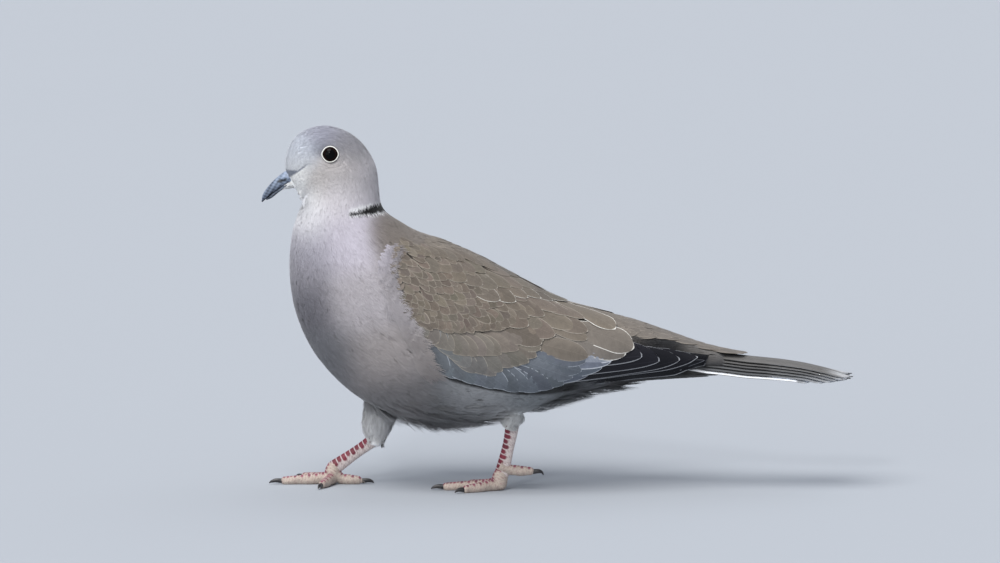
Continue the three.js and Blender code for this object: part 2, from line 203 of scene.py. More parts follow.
class Recipe:
    """A material with one Principled shader, whose inputs are set by expressions."""

    def __init__(self, name: str, roughness: float, **fixed: float) -> None:
        """Starts the material.

        Args:
            name: The material's name.
            roughness: The roughness all over, unless a link sets it later.
            fixed: Other numbers of the Principled shader, with _ for each space.
        """
        self.material = bpy.data.materials.new(name)
        self.material.use_nodes = True
        self.tree = self.material.node_tree
        self.shader = self.tree.nodes["Principled BSDF"]
        self.shader.inputs["Roughness"].default_value = roughness
        for key, value in fixed.items():
            self.shader.inputs[key.replace("_", " ")].default_value = value

    def node(self, kind: str, settings: dict, inputs: dict, output: int | str = 0) -> Sock:
        """Adds a node.

        Args:
            kind: The node's type.
            settings: Its properties, set before its sockets.
            inputs: Socket name or number to a value or a Sock.
            output: Which of its outputs to return.

        Returns:
            That output.
        """
        made = self.tree.nodes.new(kind)
        for key, value in settings.items():
            setattr(made, key, value)
        for key, value in inputs.items():
            if isinstance(value, Sock):
                self.tree.links.new(value.socket, made.inputs[key])
            else:
                made.inputs[key].default_value = value
        return Sock(self, made.outputs[output])

    def attribute(self, name: str, output: str = "Color") -> Sock:
        """Reads an attribute of the mesh."""
        return self.node("ShaderNodeAttribute", {"attribute_name": name}, {}, output)

    def parts(self, vector: Sock) -> tuple[Sock, Sock, Sock]:
        """Splits a vector in its three numbers."""
        split = self.node("ShaderNodeSeparateXYZ", {}, {0: vector}).socket.node
        return tuple(Sock(self, split.outputs[axis]) for axis in range(3))

    def place(self) -> Sock:
        """The point's place in the bird's frame, in metres."""
        return self.node("ShaderNodeTexCoord", {}, {}, "Object")

    def noise(self, scale: float, detail: float = 2.0, stretch: tuple = (1, 1, 1)) -> Sock:
        """Cloudy noise over the bird's frame, from 0 to 1.

        Args:
            scale: How many clouds to a metre.
            detail: How many finer layers it has.
            stretch: Its scale along each axis.

        Returns:
            The noise.
        """
        where = self.node("ShaderNodeMapping", {}, {"Vector": self.place(), "Scale": stretch})
        return self.node("ShaderNodeTexNoise", {}, {"Vector": where, "Scale": scale, "Detail": detail})

    def mix(self, share: Sock, first: Sock | Array, second: Sock | Array) -> Sock:
        """Mixes two colours.

        Args:
            share: How much of the second.
            first: A colour or a link.
            second: A colour or a link.

        Returns:
            The mixed colour.
        """
        settings = {"data_type": "RGBA", "clamp_factor": True}
        first, second = (c if isinstance(c, Sock) else (*map(float, c), 1.0) for c in (first, second))
        return self.node("ShaderNodeMix", settings, {0: share, 6: first, 7: second}, 2)

    def shade(self, colour: Sock, value: Sock) -> Sock:
        """Multiplies a colour by a number."""
        grey = self.node("ShaderNodeCombineXYZ", {}, {0: value, 1: value, 2: value})
        return self.node("ShaderNodeVectorMath", {"operation": "MULTIPLY"}, {0: colour, 1: grey})

    def feed(self, socket: str, value: Sock | Array) -> None:
        """Sets or links one of the shader's inputs.

        Args:
            socket: The input's name.
            value: A link or a colour.
        """
        if isinstance(value, Sock):
            self.tree.links.new(value.socket, self.shader.inputs[socket])
        else:
            self.shader.inputs[socket].default_value = (*map(float, value), 1.0)

    def bump(self, height: Sock, depth: float, strength: float) -> None:
        """Bumps the surface by a height from 0 to 1 that stands for a depth in metres."""
        inputs = {"Height": height, "Distance": depth, "Strength": strength}
        self.feed("Normal", self.node("ShaderNodeBump", {}, inputs))


@dataclass(frozen=True)
class DownFinish:
    """Body plumage whose colour each point of the mesh carries."""

    name: str = "down"
    roughness: float = 0.82
    sheen: float = 0.15
    mottle: float = 0.12
    glow: float = 0.35
    glow_depth: float = 0.0012
    specular: float = 0.2
    clouds: float = 260.0

    def make(self) -> bpy.types.Material:
        """Builds the material.

        Returns:
            The material.
        """
        recipe = Recipe(self.name, self.roughness, Sheen_Weight=self.sheen, Sheen_Roughness=0.5,
                        Subsurface_Weight=self.glow, Subsurface_Scale=self.glow_depth,
                        Specular_IOR_Level=self.specular)
        recipe.shader.inputs["Subsurface Radius"].default_value = (1.0, 0.95, 0.9)
        cloud = recipe.noise(self.clouds, 3.0)
        shade = 1.0 - self.mottle / 2 + self.mottle * cloud
        recipe.feed("Base Color", recipe.shade(recipe.attribute("tone"), shade))
        return recipe.material


@dataclass(frozen=True)
class VaneFinish:
    """A flat feather: its web, its shaft, its fine barbs and the fringe along its edge.

    The mesh gives tone, the web's colour; fringe, the edge's colour; and gauge, whose X is the
    half width here, Y the distance to the tip and Z the fringe's width, all in millimetres.
    """

    name: str = "vane"
    roughness: float = 0.62
    shaft: float = 0.16
    quill: float = 0.18
    pitch: float = 0.42
    streaks: float = 0.34
    mottle: float = 0.34
    pale_edge: float = 0.16
    gloss: float = 0.3

    def make(self) -> bpy.types.Material:
        """Builds the material.

        Returns:
            The material.
        """
        recipe = Recipe(self.name, self.roughness, Sheen_Weight=self.gloss * 0.3, Sheen_Roughness=0.4,
                        Specular_IOR_Level=self.gloss)
        along, across, chance = recipe.parts(recipe.attribute("lay", "Vector"))
        half, to_tip, fringe_width = recipe.parts(recipe.attribute("gauge", "Vector"))
        off_shaft = across.size() * half
        to_edge = (half - off_shaft).least(to_tip)
        wander = recipe.noise(900.0, 2.0) - 0.5
        fringe = 1.0 - ((to_edge + wander * 0.7 * fringe_width) / fringe_width).ramp(0.35, 1.2)
        slant = along - off_shaft * 0.75
        barb = ((slant + wander * 0.25) * (2 * math.pi / self.pitch)).wave()
        lines = {0: slant * 1.5, 1: off_shaft * 0.28, 2: chance * 90.0}
        where = recipe.node("ShaderNodeCombineXYZ", {}, lines)
        streak = recipe.node("ShaderNodeTexNoise", {}, {"Vector": where, "Scale": 1.0, "Detail": 3.0})
        cloud = recipe.noise(420.0, 4.0)
        pale = 1.0 - (to_edge / (half * 0.75 + 0.2)).ramp(0.0, 1.0)
        shade = (0.80 - 0.5 * self.streaks) + self.streaks * streak + self.mottle * (cloud - 0.5)
        shade = shade + self.pale_edge * pale + 0.04 * barb
        web = recipe.shade(recipe.attribute("tone"), shade + 0.12)
        colour = recipe.mix(fringe, web, recipe.attribute("fringe"))
        quill = 1.0 - (off_shaft / self.shaft).ramp(0.5, 1.3)
        colour = recipe.shade(colour, 1.0 + quill * self.quill)
        recipe.feed("Base Color", colour)
        recipe.bump(barb * 0.5 + 0.5 + quill * 1.5 + streak, 0.00006, 0.7)
        return recipe.material


@dataclass(frozen=True)
class HornFinish:
    """Horn of the claws: a darker bulk, paler where it is thin or worn."""

    name: str
    bulk: tuple[int, int, int]
    worn: tuple[int, int, int]
    roughness: float = 0.42
    coat: float = 0.15

    def make(self) -> bpy.types.Material:
        """Builds the material.

        Returns:
            The material.
        """
        recipe = Recipe(self.name, self.roughness, Coat_Weight=self.coat, Coat_Roughness=0.35)
        cloud = recipe.noise(420.0, 4.0, (1, 1, 1.6))
        fine = recipe.noise(2600.0, 2.0)
        share = (cloud + 0.35 * fine).ramp(0.5, 0.95)
        recipe.feed("Base Color", recipe.mix(share, srgb(*self.bulk), srgb(*self.worn)))
        recipe.feed("Roughness", self.roughness - 0.08 + 0.22 * cloud)
        recipe.bump(fine * 0.5 + cloud, 0.00012, 0.5)
        return recipe.material


@dataclass(frozen=True)
class ScaleFinish:
    """Bare skin of the legs, feet and lids, and horn of the bill, whose colour the mesh carries."""

    name: str = "bare_skin"
    roughness: float = 0.5
    grain: float = 1600.0

    def make(self) -> bpy.types.Material:
        """Builds the material.

        Returns:
            The material.
        """
        recipe = Recipe(self.name, self.roughness, Coat_Weight=0.05, Coat_Roughness=0.5)
        cloud = recipe.noise(self.grain * 0.35, 3.0)
        fine = recipe.noise(self.grain, 3.0)
        recipe.feed("Base Color", recipe.shade(recipe.attribute("tone"), 0.82 + 0.36 * cloud))
        recipe.feed("Roughness", 0.38 + 0.3 * fine)
        recipe.bump(fine, 0.0001, 0.6)
        return recipe.material


@dataclass(frozen=True)
class EyeFinish:
    """A wet eye whose colour the mesh carries."""

    name: str = "wet_eye"
    wet: float = 0.13
    grain: float = 5200.0

    def make(self) -> bpy.types.Material:
        """Builds the material.

        Returns:
            The material.
        """
        recipe = Recipe(self.name, 0.35, Coat_Weight=self.wet, Coat_Roughness=0.02,
                        Specular_IOR_Level=0.0)
        ray = recipe.noise(self.grain, 2.0)
        recipe.feed("Base Color", recipe.shade(recipe.attribute("tone"), 0.7 + 0.6 * ray))
        return recipe.material


@dataclass(frozen=True)
class FloorFinish:
    """A plain pale studio floor."""

    name: str = "studio_floor"
    colour: tuple[int, int, int] = (172, 177, 184)
    shade: tuple[int, int, int] = (164, 170, 178)
    clouds: float = 2.2

    def make(self) -> bpy.types.Material:
        """Builds the material.

        Returns:
            The material.
        """
        recipe = Recipe(self.name, 0.9, Specular_IOR_Level=0.1)
        share = recipe.noise(self.clouds, 2.0) * 0.12
        recipe.feed("Base Color", recipe.mix(share, srgb(*self.colour), srgb(*self.shade)))
        return recipe.material


# ---------------------------------------------------------------- meshes


@dataclass
class Stock:
    """Points, faces and attributes that pile up until they are made into one mesh."""

    points: list[Array] = field(default_factory=list)
    faces: list[Array] = field(default_factory=list)
    extras: dict[str, list[Array]] = field(default_factory=dict)
    count: int = 0

    def add(self, points: Array, faces: Sequence[Array], **extras: Array) -> None:
        """Adds a shape, shaded smooth.

        Args:
            points: Its points, in metres.
            faces: Arrays of triangles or of quads, by number within points.
            extras: Attributes with one row for each point. Among them bake is the OFBake map,
                and facing the normals that the light falls on.
        """
        self.faces += [np.asarray(block, np.int32) + self.count for block in faces]
        self.points.append(points)
        self.count += len(points)
        for name, values in extras.items():
            self.extras.setdefault(name, []).append(np.asarray(values, float))

    def mirrored(self) -> "Stock":
        """Turns the shapes over.

        Returns:
            The same shapes on the bird's other side.
        """
        flip = np.array([1.0, -1.0, 1.0])
        extras = {name: [block * flip for block in blocks] if name == "facing" else blocks
                  for name, blocks in self.extras.items()}
        other = Stock(extras=extras, count=self.count)
        other.points = [points * flip for points in self.points]
        other.faces = [block[:, ::-1] for block in self.faces]
        return other

    def triangles(self) -> int:
        """How many triangles it comes to."""
        return sum(len(block) * (block.shape[1] - 2) for block in self.faces)

    def make(
        self, name: str, material: bpy.types.Material, slot: str, *nodes: str
    ) -> bpy.types.Object:
        """Makes the mesh, which rides on the bird.

        Args:
            name: The piece's name.
            material: What it is made of.
            slot: Handed on to settle, which doesn't use it.
            nodes: The CAD nodes it stands for.

        Returns:
            The piece.
        """
        points = np.concatenate(self.points).astype(np.float32)
        corners = np.concatenate([block.ravel() for block in self.faces])
        sizes = np.concatenate([np.full(len(block), block.shape[1]) for block in self.faces])
        mesh = bpy.data.meshes.new(name)
        mesh.vertices.add(len(points))
        mesh.vertices.foreach_set("co", points.ravel())
        mesh.loops.add(len(corners))
        mesh.loops.foreach_set("vertex_index", corners.astype(np.int32))
        mesh.polygons.add(len(sizes))
        starts = np.concatenate([[0], np.cumsum(sizes)[:-1]])
        mesh.polygons.foreach_set("loop_start", starts.astype(np.int32))
        mesh.polygons.foreach_set("use_smooth", np.ones(len(sizes), bool))
        mesh.update(calc_edges=True)
        for key, chunks in self.extras.items():
            values = np.concatenate(chunks).astype(np.float32)
            if key == "facing":
                mesh.normals_split_custom_set_from_vertices(values)
            elif key == "bake":
                layer = mesh.uv_layers.new(name="OFBake")
                layer.uv.foreach_set("vector", values[corners].ravel())
            elif key in ("lay", "gauge"):
                mesh.attributes.new(key, "FLOAT_VECTOR", "POINT").data.foreach_set("vector", values.ravel())
            else:
                paint(mesh, key, values)
        return settle(bpy.data.objects.new(name, mesh), material, slot, *nodes, triangles=self.triangles())


def paint(mesh: bpy.types.Mesh, name: str, tone: Array) -> None:
    """Gives a mesh a colour attribute, with a colour for each of its points."""
    solid = np.column_stack([tone, np.ones(len(tone))]).astype(np.float32)
    mesh.attributes.new(name, "FLOAT_COLOR", "POINT").data.foreach_set("color", solid.ravel())


def settle(
    piece: bpy.types.Object, material: bpy.types.Material, slot: str, *nodes: str, triangles: int = 0
) -> bpy.types.Object:
    """Links a piece, dresses it, hangs it on the bird's body and hides the CAD nodes it stands for.

    Args:
        piece: The piece.
        material: What it is made of.
        slot: Not used.
        nodes: The CAD nodes it stands for.
        triangles: Its count of triangles, for the log.

    Returns:
        The piece.
    """
    bpy.context.scene.collection.objects.link(piece)
    piece.data.materials.clear()
    piece.data.materials.append(material)
    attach(piece, BODY)
    if nodes:
        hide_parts(*nodes)
    LOG.info("%s: %d triangles", piece.name, triangles)
    return piece


@dataclass
class Atlas:
    """Hands out one square of a piece's OFBake map to each of its feathers."""

    across: int
    used: int = 0

    def squares(self, count: int) -> tuple[Array, float]:
        """Takes the next squares.

        Args:
            count: How many.

        Returns:
            Their lower corners and the length of their sides.
        """
        number = np.arange(self.used, self.used + count)
        self.used += count
        side = 1.0 / self.across
        return np.column_stack([number % self.across, number // self.across]) * side, side * 0.94


def tube_faces(rings: int, sides: int) -> list[Array]:
    """The faces of a tube whose ends are closed by a point each, numbered after the rings.

    Args:
        rings: How many rings of points it has.
        sides: How many points each ring has.

    Returns:
        Its quads and its triangles, which face out where the rings go on towards the tail and
        each turns from the underside by the left side to the top.
    """
    ring, side = np.meshgrid(np.arange(rings - 1), np.arange(sides), indexing="ij")
    here = (ring * sides + side).ravel()
    beside = (ring * sides + (side + 1) % sides).ravel()
    quads = np.column_stack([here, here + sides, beside + sides, beside])
    first, last, end = rings * sides, rings * sides + 1, (rings - 1) * sides
    turn = np.arange(sides)
    after = (turn + 1) % sides
    start_cap = np.column_stack([np.full(sides, first), turn, after])
    end_cap = np.column_stack([np.full(sides, last), after + end, turn + end])
    return [quads, np.vstack([start_cap, end_cap])]


def merge(into: Stock, more: Stock) -> None:
    """Adds one stock's shapes to another.

    Args:
        into: The stock that grows.
        more: The one that is added.
    """
    into.faces += [block + into.count for block in more.faces]
    into.points += more.points
    into.count += more.count
    for name, values in more.extras.items():
        into.extras.setdefault(name, []).extend(values)


# ---------------------------------------------------------------- the form


def tree_of(*names: str) -> BVHTree:
    """Makes a search tree.

    Args:
        names: The CAD nodes to search.

    Returns:
        One tree over them all.
    """
    points: list[Vector] = []
    faces: list[tuple[int, ...]] = []
    for name in names:
        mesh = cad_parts[name].data
        start = len(points)
        points += [vertex.co.copy() for vertex in mesh.vertices]
        faces += [tuple(start + k for k in face.vertices) for face in mesh.polygons]
    return BVHTree.FromPolygons(points, faces)


@dataclass(frozen=True)
class Spine:
    """The middle line from the bill's root to the tail coverts, and the planes of its rings.

    Each row has the middle's X and Z in millimetres and the lean of its ring's top towards the
    tail in degrees. A place u counts rows from 0, and v goes round a ring: 0 is the underside,
    0.25 the left side, 0.5 the top and 0.75 the right side.
    """

    rows: tuple[tuple[float, float, float], ...] = (
        (-125, 146.3, -29.7), (-124.2, 149.2, -17.8), (-120.8, 153.3, -3.3), (-113.8, 154.7, 16.9),
        (-106.9, 151.2, 39.5), (-103, 143.8, 58.8), (-103, 135.6, 70.8), (-103.3, 126.4, 74.5),
        (-99.4, 115.2, 68.4), (-90.6, 101.4, 61.6), (-76.4, 86.3, 54.3), (-54.6, 70.4, 47.8),
        (-27.9, 60.5, 43.6), (-2.4, 59, 40.7), (21.1, 61.3, 43.6), (44.6, 61.8, 43.3),
        (65, 60.2, 32.8), (86.5, 58.7, 26),
    )
    head_end: float = 5.6
    neck_end: float = 8.5
    fine: int = 12
    around: int = 128

    def rays(self) -> tuple[Array, Array, Array, Array]:
        """The rings' rays.

        Returns:
            The places u and v, the rings' middles and each ray's direction.
        """
        last = len(self.rows) - 1
        u = np.linspace(0, last, last * self.fine + 1)
        v = np.arange(self.around) / self.around
        line = through(self.rows, u)
        lean = np.radians(line[:, 2])
        middles = np.column_stack([line[:, 0], np.zeros(len(u)), line[:, 1]]) * MM
        tops = np.column_stack([np.sin(lean), np.zeros(len(u)), np.cos(lean)])
        turn = 2 * np.pi * v[None, :, None]
        ways = -np.cos(turn) * tops[:, None, :] - np.sin(turn) * np.array([0.0, 1.0, 0.0])
        return u, v, middles, ways


class Form:
    """A closed surface round a middle line, read at any place u along it and v round it.

    Attributes:
        TRIES: How many roots are tried for each one that fits.
        ROOM: The least distance between roots against the wanted one.
    """

    TRIES = 6.0
    ROOM = 0.93

    def __init__(self, points: Array, fine: int) -> None:
        """Keeps the surface.

        Args:
            points: Its rings of points, in metres.
            fine: How many rings there are to each step of u.
        """
        self.points = points
        self.fine, self.rings, self.around = fine, points.shape[0], points.shape[1]
        self.u = np.arange(self.rings) / fine
        self.v = np.arange(self.around) / self.around
        self.along = np.gradient(points, axis=0) * fine
        self.across = (np.roll(points, -1, 1) - np.roll(points, 1, 1)) * self.around / 2
        self.normals = unit(np.cross(self.along, self.across))
        self.normals *= np.sign(((points - points.mean(1, keepdims=True)) * self.normals).sum())
        self.tree: BVHTree | None = None

    def read(self, grid: Array, u: Array, v: Array) -> Array:
        """Reads one of the form's grids between its points.

        Args:
            grid: The grid: a row for each ring, a column for each point round it.
            u: The places along the bird.
            v: The places round it.

        Returns:
            The grid's values there.
        """
        row = np.clip(u * self.fine, 0, self.rings - 1.001)
        column = np.mod(v, 1.0) * self.around
        i, j = row.astype(int), column.astype(int) % self.around
        k = (j + 1) % self.around
        s, t = (row - i)[:, None], (column - np.floor(column))[:, None]
        here = (1 - t) * grid[i, j] + t * grid[i, k]
        ahead = (1 - t) * grid[i + 1, j] + t * grid[i + 1, k]
        return (1 - s) * here + s * ahead

    def at(self, u: Array, v: Array, rise: Array | float = 0.0) -> Array:
        """Reads points off the surface.

        Args:
            u: The places along the bird.
            v: The places round it.
            rise: How far above the surface they are, in metres.

        Returns:
            The points.
        """
        base = self.read(self.points, u, v)
        if not np.any(rise):
            return base
        return base + unit(self.read(self.normals, u, v)) * np.reshape(rise, (-1, 1))

    def lie(self, u: Array, v: Array) -> tuple[Array, Array, Array]:
        """Reads how a coat lies on the surface.

        Args:
            u: The places along.
            v: The places round.

        Returns:
            The directions towards the tail, beside it and outward.
        """
        forward, out = unit(self.read(self.along, u, v)), unit(self.read(self.normals, u, v))
        return forward, np.cross(out, forward), out

    def steps(self, u: Array, v: Array, way: Array) -> tuple[Array, Array]:
        """Turns directions into steps of u and v.

        Args:
            u: The places along.
            v: The places round.
            way: A direction near the surface at each place, in metres.

        Returns:
            The steps of u and of v that go that way along the surface.
        """
        e1, e2 = self.read(self.along, u, v), self.read(self.across, u, v)
        a, b, c = dot(e1, e1), dot(e1, e2), dot(e2, e2)
        p, q = dot(way, e1), dot(way, e2)
        scale = np.maximum(a * c - b * b, 1e-14)
        return ((c * p - b * q) / scale)[:, 0], ((a * q - b * p) / scale)[:, 0]

    def scatter(
        self, rng: np.random.Generator, gap: Callable, low: float, high: float
    ) -> tuple[Array, Array]:
        """Spreads feather roots evenly.

        Args:
            rng: The source of chance.
            gap: Gives the distance between roots at places u, v, in metres.
            low: The lowest u.
            high: The highest u.

        Returns:
            The places u and v, front ones first.
        """
        rows = (self.u >= low) & (self.u < high)
        area = np.linalg.norm(np.cross(self.along, self.across), axis=-1)[rows]
        area /= self.fine * self.around
        grid_u, grid_v = np.meshgrid(self.u[rows], self.v, indexing="ij")
        spacing = gap(grid_u.ravel(), grid_v.ravel()).reshape(grid_u.shape)
        wanted = np.where(spacing > 0, area / np.maximum(spacing, 1e-5) ** 2 * self.TRIES, 0)
        count = rng.poisson(wanted).ravel()
        u = np.repeat(grid_u.ravel(), count) + rng.uniform(-0.5, 0.5, count.sum()) / self.fine
        v = np.repeat(grid_v.ravel(), count) + rng.uniform(-0.5, 0.5, count.sum()) / self.around
        u = np.clip(u, low, high - 1e-6)
        order = rng.permutation(len(u))
        u, v = u[order], v[order]
        points, apart = self.at(u, v), gap(u, v) * self.ROOM
        cell = float(apart.max())
        taken: dict[tuple[int, int, int], list[int]] = {}
        keep: list[int] = []
        cells = np.floor(points / cell).astype(int)
        near = [(a, b, c) for a in (-1, 0, 1) for b in (-1, 0, 1) for c in (-1, 0, 1)]
        for k in range(len(u)):
            x, y, z = cells[k]
            others = [m for a, b, c in near for m in taken.get((x + a, y + b, z + c), ())]
            if others:
                away = points[others] - points[k]
                if ((away * away).sum(1) < apart[k] ** 2).any():
                    continue
            taken.setdefault((x, y, z), []).append(k)
            keep.append(k)
        kept = np.array(keep)
        kept = kept[np.argsort(u[kept])]
        return u[kept], v[kept] % 1.0

    def search(self) -> BVHTree:
        """Makes a search tree over the surface, once.

        Returns:
            The tree.
        """
        if self.tree is None:
            quads = tube_faces(self.rings, self.around)[0]
            self.tree = BVHTree.FromPolygons(self.points.reshape(-1, 3).tolist(), quads.tolist())
        return self.tree

    def locate(self, points: Array) -> tuple[Array, Array]:
        """Finds places from points.

        Args:
            points: Points near the surface, in metres.

        Returns:
            The places u and v nearest to them.
        """
        out = []
        for point in points:
            place, _, face, _ = self.search().find_nearest(Vector(point))
            row, column = divmod(face, self.around)
            corner = self.points[row, column]
            e1 = self.points[row + 1, column] - corner
            e2 = self.points[row, (column + 1) % self.around] - corner
            a, b, c = e1 @ e1, e1 @ e2, e2 @ e2
            off = np.array(place) - corner
            p, q = off @ e1, off @ e2
            scale = max(a * c - b * b, 1e-18)
            out.append((row + (c * p - b * q) / scale, column + (a * q - b * p) / scale))
        rows = np.array(out)
        return rows[:, 0] / self.fine, rows[:, 1] / self.around

    def under(self, points: Array) -> tuple[Array, Array]:
        """Finds the surface under some points.

        Args:
            points: The points, in metres.

        Returns:
            The nearest points on the surface, and its smooth normals there.
        """
        tree, columns = self.search(), self.around
        flat, all_points = self.normals.reshape(-1, 3), self.points.reshape(-1, 3)
        found, normals = np.empty_like(points), np.empty_like(points)
        for k, point in enumerate(points):
            place, _, face, _ = tree.find_nearest(Vector(point))
            row, column = divmod(face, columns)
            ring = [row * columns + column, row * columns + (column + 1) % columns]
            corners = ring + [ring[0] + columns, ring[1] + columns]
            away = np.linalg.norm(all_points[corners] - place, axis=1)
            share = 1 / (away + 1e-6)
            found[k] = place
            normals[k] = (flat[corners] * share[:, None]).sum(0)
        return found, unit(normals)


@dataclass
class Shape:
    """The dove's forms, read off the CAD nodes.

    The body is the smooth bird without its wings and the outer form has the folded wings' face.
    The skin lies inside the body by the coat's depth, and bulges out under the wings. The coat
    lies on the brim, which is the skin with a wider bulge. The chin and the thighs have forms of
    their own. Heights and lengths are in millimetres.

    Attributes:
        spine: The middle line.
        smooth_rows: How far the body is smoothed along it, in rings.
        smooth_round: How far it is smoothed round it, in points.
        depths: The coat's depth at some places u.
        sheath_rows: How many steps of u the sheath over the tail's roots takes.
        sheath_length: How long it is.
        eye: The eyes' X and Z.
        eye_out: How far off the middle plane the search for an eye's opening starts.
        eye_skin: The radius of the ring of skin that gives the opening's plane.
        under_wing: How far the skin stays below the wings' outer face.
        least_lift: How far the outer form stands off the body at the least, over the flank.
        wing_depth: How far inside the body a wing's face may lie and still count as seen.
        shoulder_end: The places u between which the skin's bulge ends.
        tail_half: Half the tail's width at its root.
        tail_top: The height of the tail's top at its middle, and how much lower its sides are.
        tail_bottom: The same for its underside.
    """

    spine: Spine = field(default_factory=Spine)
    smooth_rows: float = 4.0
    smooth_round: float = 2.6
    depths: tuple[tuple[float, float], ...] = (
        (0, 0.3), (2, 0.35), (5, 0.4), (8, 0.55), (11, 0.75), (17, 0.7),
    )
    sheath_rows: int = 2
    sheath_length: float = 4.0
    eye: tuple[float, float] = (-106.2, 160.4)
    eye_out: float = 14.5
    eye_skin: float = 4.3
    under_wing: float = 1.3
    least_lift: float = 1.2
    wing_depth: float = 2.0
    shoulder_end: tuple[float, float] = (12.6, 14.4)
    tail_half: float = 12.4
    tail_top: tuple[float, float] = (61.4, 7.0)
    tail_bottom: tuple[float, float] = (56.2, 3.2)

    def __post_init__(self) -> None:
        """Reads the forms off the CAD nodes."""
        # From which u to which, how far from the middle the rays start, and the nodes they meet.
        groups = (
            (0, self.spine.head_end, 0.034, ("head",)),
            (self.spine.head_end, self.spine.neck_end, 0.042, ("neck",)),
            (self.spine.neck_end, 99, 0.075, ("trunk", "rump", "tail_coverts_upper", "tail_coverts_lower")),
        )
        u, _, middles, ways = self.spine.rays()
        body = np.full(ways.shape[:2], np.nan)
        for low, high, far, names in groups:
            rows = np.nonzero((u >= low - 0.02) & (u < high + 0.02))[0]
            hits = self.cast(tree_of(*names), middles, ways, rows, far)
            body[rows] = np.where(np.isnan(hits), body[rows], hits)
        reach = soften(self.filled(body), self.smooth_rows, self.smooth_round)
        rings = lambda out: Form(self.sheathed(middles[:, None] + ways * out[..., None]), self.spine.fine)
        self.body = rings(reach)
        wings = tree_of(*(f"wing_{tract}_left" for tract in ("coverts", "secondaries", "primaries")))
        raised = self.cast(wings, middles, ways, np.nonzero(u >= 7)[0], 0.075, full=len(u))
        half = self.spine.around // 2
        lift = raised - reach
        lift[:, half:] = lift[:, half:0:-1]
        seen = (lift > -self.wing_depth * MM).astype(float)
        bare = np.zeros((self.sheath_rows * self.spine.fine, self.spine.around))
        self.covered = np.vstack([soften(seen, 1.0, 1.0), bare])
        lift = self.filled(np.where(seen > 0, lift, np.nan))
        upper = 1 - np.abs(2 * self.body.v - 1)[None, :]
        fade = np.interp(u, [13, 14], [0.78, 0.86])[:, None]
        flank = ease(u, 12.6, 13.6)[:, None]
        low = self.least_lift * MM * flank - self.wing_depth * MM * (1 - flank)
        top = 1 - 0.8 * ease((upper - fade) / (0.98 - fade), 0, 1)
        lift = np.maximum(soften(lift, 3.0, 3.0), low) * top
        self.outer = rings(reach + lift)
        rows = np.array(self.depths)
        depth = np.interp(u, rows[:, 0], rows[:, 1]) * MM
        ahead = (1 - ease(u, *self.shoulder_end))[:, None]
        arm = np.clip(soften(seen, 2.0, 2.0) * ahead * 1.6 - 0.6, 0, 1)
        room = lift + depth[:, None] - self.under_wing * MM
        wide = np.clip(soften(seen, 8.0, 4.0) * 2.2 - 0.1, 0, 1) * ahead
        bulge = arm * room
        brim = np.maximum(wide * room, bulge)
        self.brim = rings(reach - depth[:, None] + brim)
        self.thighs = {side: self.limb(f"thigh_{side.word}") for side in Side}
        self.chin = self.chin_form()
        self.skin = rings(reach - depth[:, None] + bulge)

    def socket(self, side: Side) -> tuple[Array, Array]:
        """Finds an eye's opening, on a plane through the skin round it.

        Args:
            side: Which eye.

        Returns:
            The opening's middle, in metres, and its outward direction.
        """
        turn = np.linspace(0, 2 * np.pi, 25)[:-1]
        ring = np.column_stack([np.cos(turn), np.zeros(24), np.sin(turn)]) * self.eye_skin
        start = np.array([self.eye[0], self.eye_out * side.value, self.eye[1]])
        found, _ = self.body.under((start + ring) * MM)
        for _ in range(2):
            middle = found.mean(0)
            out = np.linalg.svd(found - middle)[2][2]
            out = out * np.sign(out[1] * side.value)
            found, _ = self.body.under(middle + spokes_round(out, turn) * self.eye_skin * MM)
        return middle, out

    def sheathed(self, points: Array) -> Array:
        """Draws a body's last ring out over the tail feathers' roots, to the tail's own section.

        Args:
            points: The body's rings.

        Returns:
            These and the new ones.
        """
        turn = 2 * np.pi * np.arange(self.spine.around) / self.spine.around
        off = np.abs(np.sin(turn))
        top = self.tail_top[0] - self.tail_top[1] * off**2.4
        bottom = self.tail_bottom[0] - self.tail_bottom[1] * off**1.3
        height = np.where(np.cos(turn) < 0, top - 2.2, bottom + 1.4)
        last = points[-1]
        end = [last[:, 0] / MM + self.sheath_length, -self.tail_half * np.sin(turn), height]
        end = np.column_stack(end) * MM
        share = np.arange(1, self.sheath_rows * self.spine.fine + 1) / (self.sheath_rows * self.spine.fine)
        return np.concatenate([points, last + (end - last) * share[:, None, None]])

    @staticmethod
    def chin_form() -> Form:
        """Makes the feathered lump that runs forward under the bill.

        Returns:
            Its form.
        """
        rows = ((-131.3, 141.5, 0.5, 0.4), (-129.5, 142.3, 1.4, 1.0), (-126.6, 143.6, 2.6, 1.7),
                (-123.4, 144.9, 3.9, 2.6), (-119.0, 144.6, 5.6, 4.0))
        line = through(rows, np.linspace(0, len(rows) - 1, 17)) * MM
        turn = 2 * np.pi * np.arange(32) / 32
        ways = np.column_stack([np.zeros(32), -np.sin(turn), -np.cos(turn)])
        middles = line[:, [0, 0, 1]] * [1, 0, 1]
        return Form(middles[:, None] + ways[None] * line[:, None, [2, 2, 3]], 16)

